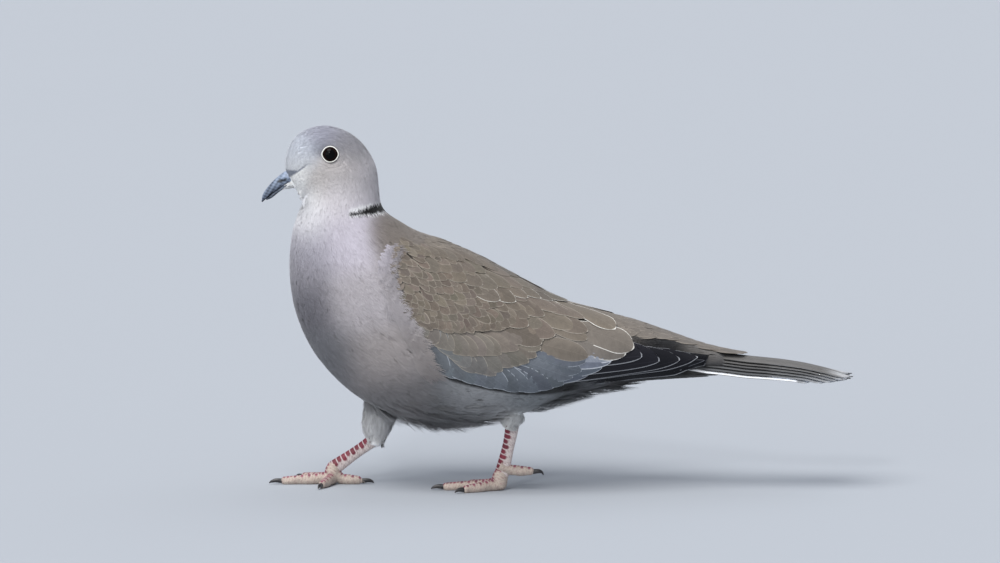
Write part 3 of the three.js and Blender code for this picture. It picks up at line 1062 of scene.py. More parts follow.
    @staticmethod
    def limb(name: str, rings: int = 17, around: int = 48, ankle: float = 3.0) -> Form:
        """Reads a limb's form off its CAD node, from its upper end to its lower end.

        Args:
            name: The node.
            rings: How many rings the form gets.
            around: How many points a ring gets.
            ankle: Its radius at the lower end, in millimetres.

        Returns:
            The form.
        """
        points = np.array([vertex.co[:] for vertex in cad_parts[name].data.vertices])
        heights = points[:, 2]
        span = heights.max() - heights.min()
        ends = (heights.max(), heights.min())
        first, last = (points[np.abs(heights - end) < 0.22 * span].mean(0) for end in ends)
        share = np.linspace(-0.08, 1.16, rings)[:, None]
        middles = first + (last - first) * share
        way = unit(last - first)
        side = unit(np.array([0.0, 1.0, 0.0]) - way * way[1])
        front = np.cross(side, way)
        turn = 2 * np.pi * (np.arange(around) / around)[:, None]
        ring = front * np.cos(turn) - side * np.sin(turn)
        ways = np.repeat(ring[None], rings, 0)
        reach = Shape.cast(tree_of(name), middles, ways, np.arange(rings), 0.03)
        reach = soften(Shape.filled(reach), 0.8, 2.0)
        narrow = ease(share, 0.84, 1.16)
        reach = reach * (1 - narrow) + ankle * MM * narrow
        return Form(middles[:, None] + ways * reach[..., None], rings - 1)

    @staticmethod
    def cast(
        tree: BVHTree, middles: Array, ways: Array, rows: Array, far: float, full: int = 0
    ) -> Array:
        """Finds how far out the rays of some rings meet the nodes.

        Args:
            tree: The nodes' search tree.
            middles: The rings' middles.
            ways: The rays' directions.
            rows: The rings to cast.
            far: Where the rays start, from the middle.
            full: The count of all the rings, where the answer has a row for each.

        Returns:
            The distances, with nan where a ray meets nothing.
        """
        out = np.full((full or len(rows), ways.shape[1]), np.nan)
        for place, row in enumerate(rows):
            middle = Vector(middles[row])
            for column in range(ways.shape[1]):
                way = Vector(ways[row, column])
                hit = tree.ray_cast(middle + way * far, -way, far)
                if hit[0] is not None:
                    out[row if full else place, column] = far - hit[3]
        return out

    @staticmethod
    def filled(grid: Array) -> Array:
        """Fills the gaps of a grid from what lies round them.

        Args:
            grid: The grid, with nan in its gaps.

        Returns:
            The whole grid.
        """
        known = ~np.isnan(grid)
        out = np.where(known, grid, 0.0)
        done = known.copy()
        for reach in (1, 2, 4, 8, 16, 32):
            weight = soften(known.astype(float), reach, reach)
            value = soften(np.where(known, grid, 0.0), reach, reach) / np.maximum(weight, 1e-9)
            fresh = ~done & (weight > 0.04)
            out[fresh] = value[fresh]
            done |= fresh
        out[~done] = float(np.nanmean(grid))
        return out


# ---------------------------------------------------------------- markings


@dataclass(frozen=True)
class Tract:
    """One part of the plumage and its colour, spread softly round a place on the bird's side; some tracts
    carry painted shade.
    """

    name: str
    x: float
    z: float
    colour: tuple[int, int, int]
    reach: float = 9.0


@dataclass
class Markings:
    """The plumage's colours, with painted shade under the wing, in the throat's fold and on the breast's
    front and underside, worked out anywhere on the body from the place alone.

    Attributes:
        tracts: The parts of the plumage, some of them darkened by painted shade.
        wing_shadow_edge: X and Z of points along the folded wing's lower edge, under which a band of painted
            shadow darkens the body.
        collar_height: The black collar's height at its front and back ends.
        collar_front: The X of its front end.
        collar_back: The X of its back end.
        collar_half: Half its width at its front and back ends.
        black: The collar's colour.
        white: The colour of its pale border.
        gape_white: The colour under the bill.
        gape_slate: The colour of the wedge and the line behind the bill.
    """

    tracts: tuple[Tract, ...] = (
        Tract("forehead", -121, 160, (200, 206, 218), 5),
        Tract("crown", -110, 170, (160, 161, 176), 6),
        Tract("hind_crown", -97, 164, (146, 145, 151), 6),
        Tract("lores", -121, 154, (218, 221, 225), 4),
        Tract("cheek", -113, 147, (210, 203, 198), 5),
        Tract("ear", -101, 151, (194, 188, 187), 6),
        Tract("chin", -119, 139, (248, 248, 248), 5),
        Tract("throat", -119, 129, (244, 243, 246), 6),
        # This tract is painted shade: a darker grey laid in the crease between the chin and the neck.
        Tract("throat_fold_shade", -119.5, 134.5, (186, 187, 192), 2.4),
        Tract("nape", -88, 147, (198, 194, 199), 6),
        Tract("neck_side", -104, 139, (228, 223, 227), 6),
        Tract("neck_front", -118, 119, (166, 163, 175), 8),
        Tract("neck_side_low", -98, 122, (208, 202, 214), 9),
        Tract("hind_neck", -80, 124, (112, 104, 96), 4.5),
        Tract("shoulder", -73, 117, (120, 112, 105), 6),
        Tract("mantle", -50, 108, (122, 114, 107), 10),
        Tract("upper_breast", -122, 106, (146, 143, 150), 9),
        # The breast, low_breast, belly and hind_belly tones are the underside's real grey, darkened further
        # by painted shade on the breast's front and the underside.
        Tract("breast", -119, 88, (99, 98, 105), 8),
        Tract("breast_side", -92, 92, (186, 180, 184), 9),
        Tract("low_breast", -106, 64, (108, 109, 114), 9),
        Tract("low_side", -84, 66, (170, 162, 160), 9),
        Tract("belly", -78, 44, (118, 116, 117), 9),
        Tract("hind_belly", -44, 34, (100, 101, 103), 9),
        Tract("flank", -36, 45, (172, 173, 175), 8),
        Tract("flank_rear", -12, 47, (140, 144, 147), 7),
        Tract("vent", 10, 44, (84, 86, 89), 8),
        Tract("under_tail", 45, 52, (16, 16, 18), 11),
        Tract("back", -20, 94, (128, 121, 113), 10),
        Tract("rump", 22, 80, (124, 118, 112), 10),
        Tract("rump_side", 42, 65, (22, 23, 27), 8),
        Tract("tail_coverts", 75, 68, (108, 104, 100), 7),
        Tract("tail_side", 78, 60, (52, 54, 58), 6),
        Tract("fore_thigh", -86, 25, (250, 250, 250), 6),
        Tract("hind_thigh", -21, 31, (244, 244, 242), 4),
    )
    wing_shadow_edge: tuple[tuple[float, float], ...] = (
        (-60, 65), (-57, 62.3), (-49.6, 57.9), (-41, 55.5), (-32.7, 53.5), (-24.2, 51.9),
        (-15.7, 50.7), (-7.3, 50.2), (1.2, 50.6), (8, 51.5),
    )
    collar_height: tuple[float, float] = (131.5, 133.2)
    collar_front: float = -97.6
    collar_back: float = -84.0
    collar_half: tuple[float, float] = (0.72, 2.05)
    black: tuple[int, int, int] = (3, 3, 5)
    white: tuple[int, int, int] = (250, 250, 252)
    gape_white: tuple[int, int, int] = (252, 252, 250)
    gape_slate: tuple[int, int, int] = (104, 112, 128)

    def tone(self, points: Array, stray: Array | None = None) -> Array:
        """The plumage's colour, with its painted shade.

        Args:
            points: Places on the body, in metres.
            stray: How far each one reads the collar off its place, in millimetres.

        Returns:
            Their colours, in linear light.
        """
        place = points / MM
        x, z = place[:, 0], place[:, 2]
        sites = np.array([(tract.x, tract.z) for tract in self.tracts])
        reach = np.array([tract.reach for tract in self.tracts])
        colours = np.array([srgb(*tract.colour) for tract in self.tracts])
        away = ((place[:, None, [0, 2]] - sites) ** 2).sum(-1) / (2 * reach**2)
        weight = np.exp(-(away - away.min(1, keepdims=True))) / reach
        tone = weight @ colours / weight.sum(1, keepdims=True)
        along = ease(x, self.collar_front, self.collar_back)
        half = blend(*self.collar_half, along)
        off = z - blend(*self.collar_height, along) + (0 if stray is None else stray)
        start = ease(x, self.collar_front - 0.7, self.collar_front + 1.0)
        tone = self.gape(x, z, tone)
        tall = half + 0.4 + 1.5 * start * (1 - ease(x, self.collar_front + 5, self.collar_back - 1))
        edge = start * (1 - ease(off, tall - 0.5, tall + 0.4)) * ease(off, -half - 0.9, -half - 0.3)
        tone = blend(tone, srgb(*self.white), (0.95 * edge)[:, None])
        band = start * (1 - ease(np.abs(off), half - 0.2, half + 0.25))
        tone = blend(tone, srgb(*self.black), band[:, None])
        # Painted shadow: a band of the body just under the folded wing's lower edge is darkened, where the
        # wing's shade falls.
        edge_x, edge_z = np.array(self.wing_shadow_edge).T
        below = np.interp(x, edge_x, edge_z) - z
        deep = ease(x, -60, -53) * (1 - ease(x, 6, 14)) * ease(below, -3, -1) * (1 - ease(below, 1.7, 3.2))
        return tone * (1 - 0.9 * deep * (z > 47))[:, None]

    def gape(self, x: Array, z: Array, tone: Array) -> Array:
        """Adds the slate wedge behind the bill, the dark line from it and the white under it.

        Args:
            x: The points' X, in millimetres.
            z: Their Z.
            tone: Their colours so far.

        Returns:
            Their colours.
        """
        off = z - (147.4 + 0.735 * (x + 126.7))
        under = 1 - ease(x, -121, -114)
        white = under * ease(-off, 0.2, 0.9) * (1 - ease(-off, 6 + 3 * under, 9.5 + 3 * under))
        tone = blend(tone, srgb(*self.gape_white), (0.95 * white)[:, None])
        wedge = (1 - ease(x, -122, -119.5)) * ease(off, -0.3, 0.1) * (1 - ease(z, 151.0, 151.9))
        line = (1 - ease(x, -120, -113.5)) * (1 - ease(np.abs(off), 0.25, 0.7))
        share = np.maximum(0.85 * wedge, 0.7 * line)[:, None]
        return blend(tone, srgb(*self.gape_slate), share)


# ---------------------------------------------------------------- body plumage


BARB_RINGS = {
    2: ((0.0, 0.62), (0.8, 1.0)),
    3: ((0.0, 0.4, 0.78), (0.8, 1.0, 0.95)),
    4: ((0.0, 0.3, 0.6, 0.85), (0.6, 1.0, 0.95, 0.65)),
}


@dataclass(frozen=True)
class Fan:
    """A contour feather as a fan of narrow barbs lying along the body, in millimetres.

    Attributes:
        length: From the root to the tip.
        barbs: How many barbs it has.
        width: One barb's width.
        spread: The half angle of the fan, in degrees.
        lift: How high its tip stands above the skin.
        depth: How high its root stands above the skin.
        rings: How many rings of points a barb has before its tip.
    """

    length: float
    barbs: int
    width: float
    spread: float = 24.0
    lift: float = 1.1
    depth: float = 0.25
    rings: int = 3

    def spread_out(
        self, form: Form, u: Array, v: Array, turn: Array, size: Array, tint: Callable,
        rng: np.random.Generator, window: tuple[float, float, float, float],
    ) -> Stock:
        """Builds one of these at each place.

        Args:
            form: The surface it lies on.
            u: The roots' places along the bird.
            v: The roots' places round it.
            turn: How far each feather points off the lie of the coat, in radians.
            size: Each feather's size against the fan's own.
            tint: Gives the colours of points, with a stray for each.
            rng: The source of chance.
            window: The part of u and v that the OFBake map covers.

        Returns:
            The feathers.
        """
        count, n = len(u), self.barbs
        stock = Stock()
        if not count:
            return stock
        forward, side, normal = form.lie(u, v)
        place = (np.arange(n) + 0.5) / n * 2 - 1
        fan = np.radians(self.spread) * place[None, :] + rng.normal(0, 0.05, (count, n)) + turn[:, None]
        reach = self.length * MM * size[:, None] * (1 - 0.22 * place**2 + rng.normal(0, 0.07, (count, n)))
        pick = np.repeat(np.arange(count), n)
        fan, reach = fan.ravel(), reach.ravel()
        way = forward[pick] * np.cos(fan)[:, None] + side[pick] * np.sin(fan)[:, None]
        lean = side[pick] * np.sign(np.sin(fan - turn[pick]))[:, None]
        du, dv = form.steps(u[pick], v[pick], way * reach[:, None])
        bend = -lean * (np.abs(np.sin(fan - turn[pick])) * reach)[:, None]
        bend_u, bend_v = form.steps(u[pick], v[pick], bend)
        shares, girths = BARB_RINGS[self.rings]
        wave = rng.normal(0, 0.08, len(pick)) * self.lift
        rows, tones, facing = [], [], []
        stray = rng.normal(0, 0.12, count)[pick]
        glow = (1 + rng.normal(0, 0.03, count)[pick] + rng.normal(0, 0.03, len(pick)))[:, None]
        across = unit(np.cross(normal[pick], way))
        for t, girth in (*zip(shares, girths), (1.0, 0.0)):
            here_u = u[pick] + du * t + bend_u * 0.35 * t * t
            here_v = v[pick] + dv * t + bend_v * 0.35 * t * t
            rise = (self.depth + (self.lift - self.depth + wave) * t**0.8) * MM * size[pick] ** 0.5
            middle = form.at(here_u, here_v, rise)
            half = across * (self.width * MM * girth / 2) * (size[pick] ** 0.5)[:, None]
            ridge = normal[pick] * self.width * MM * 0.16
            out = unit(form.read(form.normals, here_u, here_v))
            facing += [unit(out - across * 0.22), unit(out + across * 0.22), out][: 3 if girth else 1]
            rows += [middle - half, middle + half, middle + ridge * girth] if girth else [middle]
            # Painted shade: each barb darkens towards its root, where it lies under the feathers above.
            shade = 0.96 + 0.05 * t
            tones += [tint(middle, stray) * glow * shade] * (3 if girth else 1)
        points = np.stack(rows, 1)
        per = points.shape[1]
        quads, caps = [], [[0, 1, 2]]
        for ring in range(self.rings - 1):
            for a, b in ((0, 2), (2, 1), (1, 0)):
                quads.append([ring * 3 + a, ring * 3 + 3 + a, ring * 3 + 3 + b, ring * 3 + b])
        end = (self.rings - 1) * 3
        caps += [[end, end + 3, end + 2], [end + 2, end + 3, end + 1], [end + 1, end + 3, end]]
        starts = (np.arange(len(pick)) * per)[:, None, None]
        barb = np.repeat(np.arange(n)[None] + 0.5, count, 0).ravel()
        local_x = np.tile(barb[:, None] / n, (1, per))
        local_y = np.tile(np.linspace(0, 1, per)[None], (len(pick), 1))
        low_u, high_u, low_v, high_v = window
        patch = 0.003
        map_x = (v[pick] - low_v) / (high_v - low_v) * (1 - patch)
        map_y = (u[pick] - low_u) / (high_u - low_u) * (1 - patch)
        bake = np.stack([map_x[:, None] + local_x * patch, map_y[:, None] + local_y * patch], -1)
        stock.add(
            points.reshape(-1, 3),
            [(np.array(block)[None] + starts).reshape(-1, len(block[0])) for block in (quads, caps)],
            facing=np.stack(facing, 1).reshape(-1, 3),
            tone=np.clip(np.stack(tones, 1).reshape(-1, 3), 0, 1),
            bake=bake.reshape(-1, 2),
        )
        return stock


@dataclass(frozen=True)
class CoatPart:
    """One piece of the body's plumage, between two places of the spine."""

    name: str
    low: float
    high: float
    fan: Fan
    seed: int

    @property
    def window(self) -> tuple[float, float, float, float]:
        """The part of u and v that its OFBake map covers."""
        return self.low, self.high, 0.0, 1.0


@dataclass
class Coat:
    """The body's plumage over the skin, in tufts that follow the lie of the coat.

    Attributes:
        shape: The dove's forms.
        markings: The plumage's colours, with their painted shade.
        gaps: Places u, with the distance between roots and the feathers' length there, in mm.
        parts: The pieces.
        wing_front: X and Z of points along the folded wing's front edge, in mm.
        loose: Loose feathers: from u to u, their middle v and its reach, their count and lift.
        loose_fan: The shape of the loose feathers, before their lift.
        thigh_fan: The thighs' feathers.
        thigh_gap: The distance between their roots, in metres.
        wisp_fan: The loose feathers over the wings' front edges.
        wisp_lines: How far ahead of the edge these grow, in mm, and how many.
        throat_fan: The feathers in the fold under the chin.
        chin_fan: The feathers over the root of the lower bill.
        chin_gap: The distance between their roots, in metres.
        lash_fan: The feathers that stand round the eyes.
        lash_rings: The radius of each ring of these, in mm, and how many.
        eye_clear: The radius round an eye without other feathers, in mm.
        collar_middle: The height round which roots stand closer for the collar, in mm.
    """

    shape: Shape
    markings: Markings
    gaps: tuple[tuple[float, float, float], ...] = (
        (0, 0.85, 1.5), (1, 0.95, 2.2), (2, 1.0, 2.9), (4, 1.1, 3.6), (5.6, 1.25, 4.2), (7, 1.5, 5.4),
        (8.5, 1.8, 7.0), (10, 2.1, 8.6), (12, 2.3, 9.6), (14, 2.4, 10.0), (16.0, 2.1, 8.6), (16.8, 1.8, 5.5),
    )
    parts: tuple[CoatPart, ...] = (
        CoatPart("coat_head", 0.0, 5.6, Fan(3, 6, 0.42, 22, 0.22, 0.05, 2), 11),
        CoatPart("coat_neck", 5.6, 8.5, Fan(5, 8, 0.5, 20, 0.3, 0.06, 3), 12),
        CoatPart("coat_upper_breast", 8.5, 9.45, Fan(8, 12, 0.56, 20, 0.45, 0.08, 3), 13),
        CoatPart("coat_breast", 9.45, 10.3, Fan(8, 12, 0.56, 20, 0.45, 0.08, 3), 16),
        CoatPart("coat_low_breast", 10.3, 11.2, Fan(8, 12, 0.56, 20, 0.45, 0.08, 3), 17),
        CoatPart("coat_belly", 11.2, 12.5, Fan(9, 12, 0.6, 22, 0.65, 0.1, 3), 14),
        CoatPart("coat_flank", 12.5, 14.0, Fan(9, 12, 0.6, 22, 0.65, 0.1, 3), 18),
        CoatPart("coat_rump", 14.0, 16.7, Fan(10, 12, 0.6, 18, 0.5, 0.1, 3), 15),
    )
    wing_front: tuple[tuple[float, float], ...] = (
        (-73.5, 119), (-75.5, 111), (-75, 103.5), (-72, 95), (-68.7, 88.5), (-65.5, 82),
        (-62.2, 75.7), (-59, 67), (-57, 61),
    )
    loose: tuple[tuple[float, float, float, float, int, float], ...] = (
        (13.2, 14.7, 0.0, 0.05, 120, 3.6), (13.6, 14.9, 0.07, 0.02, 40, 1.6),
        (13.6, 14.9, 0.93, 0.02, 40, 1.6), (10.9, 12.3, 0.94, 0.04, 170, 3.8),
        (10.9, 12.1, 0.96, 0.03, 150, 5.0), (11.6, 12.7, 0.0, 0.06, 110, 3.0),
        (11.0, 12.4, 0.07, 0.03, 30, 1.8),
    )
    loose_fan: Fan = Fan(11, 8, 0.3, 26, 0.0, 0.1, 4)
    thigh_fan: Fan = Fan(8, 8, 0.34, 30, 1.7, 0.05, 4)
    thigh_gap: float = 0.0014
    wisp_fan: Fan = Fan(7, 7, 0.22, 24, 2.0, 0.15, 4)
    wisp_lines: tuple[tuple[float, int], ...] = ((8.0, 120), (6.6, 130), (5.2, 130), (3.8, 120))
    throat_fan: Fan = Fan(1.7, 6, 0.42, 24, 0.3, 0.05, 2)
    chin_fan: Fan = Fan(1.7, 4, 0.3, 20, 0.22, 0.03, 2)
    chin_gap: float = 0.0007
    lash_fan: Fan = Fan(1.5, 4, 0.3, 22, 0.3, 0.12, 2)
    lash_rings: tuple[tuple[float, int], ...] = ((4.15, 44), (4.6, 48), (5.1, 52), (5.6, 56))
    eye_clear: float = 5.3
    collar_middle: float = 132.6

    def gap(self, u: Array, v: Array) -> Array:
        """Spaces the roots.

        Args:
            u: The places along the bird.
            v: The places round it.

        Returns:
            The distance between roots, in metres; 0 where none grow.
        """
        rows = np.array(self.gaps)
        gap = np.interp(u, rows[:, 0], rows[:, 1]) * MM
        place = self.shape.body.at(u, v) / MM
        off = np.abs(place[:, 2] - self.collar_middle)
        gap = np.where((off < 4) & (place[:, 0] > -100) & (u > 4.5) & (u < 9), gap * 0.72, gap)
        under = self.shape.body.read(self.shape.covered[..., None], u, v)[:, 0]
        rear = (u > 13.2) & (1 - np.abs(2 * v - 1) > 0.6)
        return np.where((under > 0.97) & ~rear, 0.0, gap)

    def build(self) -> None:
        """Builds the pieces."""
        rows = np.array(self.gaps)
        finish = DownFinish().make()
        for part in self.parts:
            rng = np.random.default_rng(part.seed)
            u, v = self.shape.body.scatter(rng, self.gap, part.low, part.high)
            keep = self.clear(self.shape.body.at(u, v) / MM)
            keep &= self.flat(u, v, np.interp(u, rows[:, 0], rows[:, 2]))
            if part.name == "coat_rump":
                keep &= (self.shape.body.at(u, v)[:, 0] < 0.062) | (1 - np.abs(2 * v - 1) > 0.8)
            u, v = u[keep], v[keep]
            size = np.interp(u, rows[:, 0], rows[:, 2]) / part.fan.length * rng.normal(1, 0.06, len(u))
            size *= self.shorter(self.shape.body.at(u, v) / MM)
            turn = rng.normal(0, 0.07, len(u)) + self.part_round_eye(u, v)
            stock = part.fan.spread_out(
                self.shape.brim, u, v, turn, size, self.markings.tone, rng, part.window
            )
            merge(stock, self.throat(part, rng))
            if part.name == "coat_head":
                merge(stock, self.chin(rng))
                for side in Side:
                    merge(stock, self.lashes(side, rng))
            if part.name == "coat_breast":
                wisps = self.wisps(rng)
                wisps.make("coat_side_left", finish, "plumage")
                wisps.mirrored().make("coat_side_right", finish, "plumage")
            if part.name == "coat_belly":
                self.fluff(rng).make("coat_fluff", finish, "plumage")
            stock.make(part.name, finish, "plumage")
        for side, thigh in self.shape.thighs.items():
            rng = np.random.default_rng(20 + side.value)
            u, v = thigh.scatter(rng, lambda u, v: np.full(len(u), self.thigh_gap), 0.0, 0.93)
            size = rng.normal(1, 0.25, len(u)) * (1 - 0.45 * u)
            turn = rng.normal(0, 0.3, len(u))
            window = (0, 1, 0, 1)
            stock = self.thigh_fan.spread_out(
                thigh, u, v, turn, size, self.markings.tone, rng, window
            )
            stock.make(f"coat_thigh_{side.word}", finish, "plumage")

    def wisps(self, rng: np.random.Generator) -> Stock:
        """Grows the loose feathers of the breast's side, which lie over the wings' front edges.

        Args:
            rng: The source of chance.

        Returns:
            Those of the left side.
        """
        form, spots = self.shape.brim, []
        for ahead, count in self.wisp_lines:
            line = through(self.wing_front, rng.uniform(0, 1, count) * (len(self.wing_front) - 1))
            spots.append(line - [ahead, ahead * 0.2])
        places = side_on(form, np.vstack(spots) + rng.normal(0, 0.7, (sum(map(len, spots)), 2)))
        u, v = form.locate(places)
        size = rng.normal(1, 0.14, len(u)) * (0.85 + 0.3 * ease(-places[:, 2], -0.1, -0.07))
        turn = rng.normal(0.0, 0.2, len(u)) + 0.1
        window = (8, 13, 0, 0.5)
        return self.wisp_fan.spread_out(form, u, v, turn, size, self.pale_side, rng, window)

    def pale_side(self, points: Array, stray: Array) -> Array:
        """Colours the wisps like the breast a little further forward, and a little paler.

        Args:
            points: Their points, in metres.
            stray: How far each one reads the collar off its place.

        Returns:
            Their colours.
        """
        ahead = np.minimum(points[:, :1], -0.074) - 0.010
        pale = 1.14 - 0.16 * ease(points[:, 2:] / MM, 92, 106)
        return self.markings.tone(np.column_stack([ahead, points[:, 1:]]), stray) * pale

    def fluff(self, rng: np.random.Generator) -> Stock:
        """Grows the long loose feathers of the vent, and those behind the forward thigh.

        Args:
            rng: The source of chance.

        Returns:
            The feathers.
        """
        form, stock = self.shape.skin, Stock()
        for low, high, middle, reach, count, lift in self.loose:
            u, v = rng.uniform(low, high, count), np.mod(rng.normal(middle, reach, count), 1.0)
            fan, window = replace(self.loose_fan, lift=lift), (10, 16, 0, 1)
            size, turn = rng.normal(1, 0.18, count), rng.normal(0, 0.22, count)
            merge(stock, fan.spread_out(form, u, v, turn, size, self.markings.tone, rng, window))
        return stock

    def flat(self, u: Array, v: Array, length: Array | float) -> Array:
        """Finds the feathers on ground that doesn't fold under them.

        Args:
            u: The places along the bird.
            v: The places round it.
            length: How long the feathers are, in millimetres.

        Returns:
            Whether each one does.
        """
        form = self.shape.brim
        forward, _, here = form.lie(u, v)
        way = forward * (np.zeros(len(u)) + length)[:, None] * MM
        du, dv = form.steps(u, v, way)
        smooth = np.ones(len(u), bool)
        for share in (0.5, 1.0):
            there = unit(form.read(form.normals, u + du * share, v + dv * share))
            smooth &= (here * there).sum(1) > 0.75
        x, _, z = (form.at(u, v) / MM).T
        folded = (here[:, 0] > -0.35) & (np.abs(here[:, 1]) < 0.6) & (here[:, 2] > -0.2)
        return (smooth | (x > -105)) & ~(folded & (x < -112) & (z < 140))

    def throat(self, part: CoatPart, rng: np.random.Generator) -> Stock:
        """Grows the small feathers in the fold between the chin and the neck.

        Args:
            part: The piece they belong to.
            rng: The source of chance.

        Returns:
            Those whose roots are in that piece.
        """
        form, fan = self.shape.brim, self.throat_fan
        spots = rng.uniform((-121.5, -6.5, 130.5), (-114.5, 6.5, 139.5), (900, 3)) * MM
        u, v = form.locate(spots)
        own = (u >= part.low) & (u < part.high) & self.flat(u, v, fan.length)
        u, v, count = u[own], v[own], int(own.sum())
        turn, size = rng.normal(0, 0.1, count), rng.normal(1, 0.08, count)
        return fan.spread_out(form, u, v, turn, size, self.markings.tone, rng, part.window)

    def chin(self, rng: np.random.Generator) -> Stock:
        """Grows the small white feathers over the root of the lower bill.

        Args:
            rng: The source of chance.

        Returns:
            The feathers.
        """
        form = self.shape.chin
        u, v = form.scatter(rng, lambda u, v: np.full(len(u), self.chin_gap), 0.02, 0.9)
        turn = rng.normal(0, 0.08, len(u))
        size = rng.normal(1, 0.08, len(u)) * (0.6 + 0.4 * ease(u, 0, 0.5))
        window = (-9, 1.2, -9, 1.2)
        return self.chin_fan.spread_out(form, u, v, turn, size, self.markings.tone, rng, window)

    def lashes(self, side: Side, rng: np.random.Generator) -> Stock:
        """Grows the tiny feathers that stand in rings round an eye and point away from it.

        Args:
            side: Which eye.
            rng: The source of chance.

        Returns:
            The feathers.
        """
        form, (centre, out), stock = self.shape.skin, self.shape.socket(side), Stock()
        for radius, count in self.lash_rings:
            angle = np.linspace(0, 2 * np.pi, count + 1)[:-1] + rng.normal(0, 0.03, count)
            spoke = spokes_round(out, angle)
            u, v = form.locate(centre + spoke * radius * MM)
            forward, side_way, _ = form.lie(u, v)
            away = unit(spoke + forward * 0.35)
            turn = np.arctan2((away * side_way).sum(1), (away * forward).sum(1))
            size, window = rng.normal(1, 0.08, count), (0, self.shape.spine.head_end, 0, 1)
            merge(stock, self.lash_fan.spread_out(
                form, u, v, turn, size, self.markings.tone, rng, window
            ))
        return stock

    def part_round_eye(self, u: Array, v: Array) -> Array:
        """Turns feathers so that they lie round the eyes instead of over them.

        Args:
            u: The places along the bird.
            v: The places round it.

        Returns:
            How far each one turns, in radians.
        """
        form = self.shape.body
        place = form.at(u, v)
        away = (place / MM - [self.shape.eye[0], 0, self.shape.eye[1]]) * [1, 0, 1]
        off = np.linalg.norm(away, axis=1)
        away = unit(away)
        forward, side, _ = form.lie(u, v)
        ahead, across = dot(away, forward)[:, 0], dot(away, side)[:, 0]
        near = (1 - ease(off, 4.5, 8.5)) * (np.abs(place[:, 1]) > 0.006)
        return np.where(ahead < 0.3, np.sign(across) * (0.3 - ahead) * 1.25 * near, 0.0)

    def clear(self, place: Array) -> Array:
        """Which roots stand clear of the eyes."""
        off = np.linalg.norm(place[:, [0, 2]] - self.shape.eye, axis=1)
        return (off > self.eye_clear) | (np.abs(place[:, 1]) < 6)

    def shorter(self, place: Array) -> Array:
        """Shortens feathers round the eyes.

        Args:
            place: Their roots, in millimetres.

        Returns:
            Each one's length against its full one.
        """
        off = np.linalg.norm(place[:, [0, 2]] - self.shape.eye, axis=1)
        near = (1 - ease(off, 5, 10)) * (np.abs(place[:, 1]) > 6)
        return 1 - 0.5 * near


@dataclass
class Skin:
    """One skin under the plumage, without a seam, inside the flesh by the coat's depth.

    Attributes:
        shape: The dove's forms.
        markings: The plumage's colours, with their painted shade.
        voxel: The size of the cells that join its forms, in metres.
        nodes: The CAD nodes it stands for.
    """

    shape: Shape
    markings: Markings
    voxel: float = 0.0009
    nodes: tuple[str, ...] = (
        "head", "neck", "trunk", "rump", "tail_coverts_upper", "tail_coverts_lower",
        "thigh_left", "thigh_right",
    )

    def build(self) -> None:
        """Builds the skin."""
        stock = Stock()
        for form in (self.shape.skin, self.shape.chin, *self.shape.thighs.values()):
            ends = [form.points[0].mean(0), form.points[-1].mean(0)]
            points = np.vstack([form.points.reshape(-1, 3), *ends])
            stock.add(points, tube_faces(form.rings, form.around))
        piece = stock.make("skin", DownFinish("under_down", mottle=0.2).make(), "plumage", *self.nodes)
        remesh = piece.modifiers.new("one_skin", "REMESH")
        remesh.mode, remesh.voxel_size, remesh.use_smooth_shade = "VOXEL", self.voxel, True
        soft = piece.modifiers.new("soft_joins", "SMOOTH")
        soft.factor, soft.iterations = 0.5, 4
        evaluated = piece.evaluated_get(bpy.context.evaluated_depsgraph_get())
        mesh = bpy.data.meshes.new_from_object(evaluated)
        piece.modifiers.clear()
        piece.data = mesh
        points = np.empty(len(mesh.vertices) * 3, np.float32)
        mesh.vertices.foreach_get("co", points)
        points = points.reshape(-1, 3).astype(float)
        for side in Side:
            points = self.sink(points, *self.shape.socket(side))
        points = self.tuck(points)
        mesh.vertices.foreach_set("co", points.astype(np.float32).ravel())
        paint(mesh, "tone", self.markings.tone(points))
        LOG.info("skin: %d faces as one", len(mesh.polygons))

    @staticmethod
    def tuck(points: Array) -> Array:
        """Draws the skin's rear end in between the tail feathers.

        Args:
            points: The skin's points, in metres.

        Returns:
            The new points.
        """
        x, y, z = (points / MM).T
        share = ease(x, 74, 86)
        middle = 60.0 - 0.25 * np.abs(y)
        return np.column_stack([x, y * (1 - 0.5 * share), z + 0.8 * share * (middle - z)]) * MM

    @staticmethod
    def sink(points: Array, centre: Array, out: Array) -> Array:
        """Sinks the skin into an eye's socket, with a low swelling for the lids round it.

        Args:
            points: The skin's points, in metres.
            centre: The opening's middle.
            out: Its outward direction.

        Returns:
            The new points.
        """
        off = (points - centre) / MM
        height = off @ out
        radius = np.linalg.norm(off - height[:, None] * out, axis=1)
        near = (np.abs(height) < 4) * (1 - ease(radius, 4.4, 6.6))
        step = near * (-1.6 + 1.4 * ease(radius, 2.9, 3.7) - height)
        return points + out * (np.where(radius > 3.9, np.minimum(step, 0), step) * MM)[:, None]


# ---------------------------------------------------------------- flat feathers


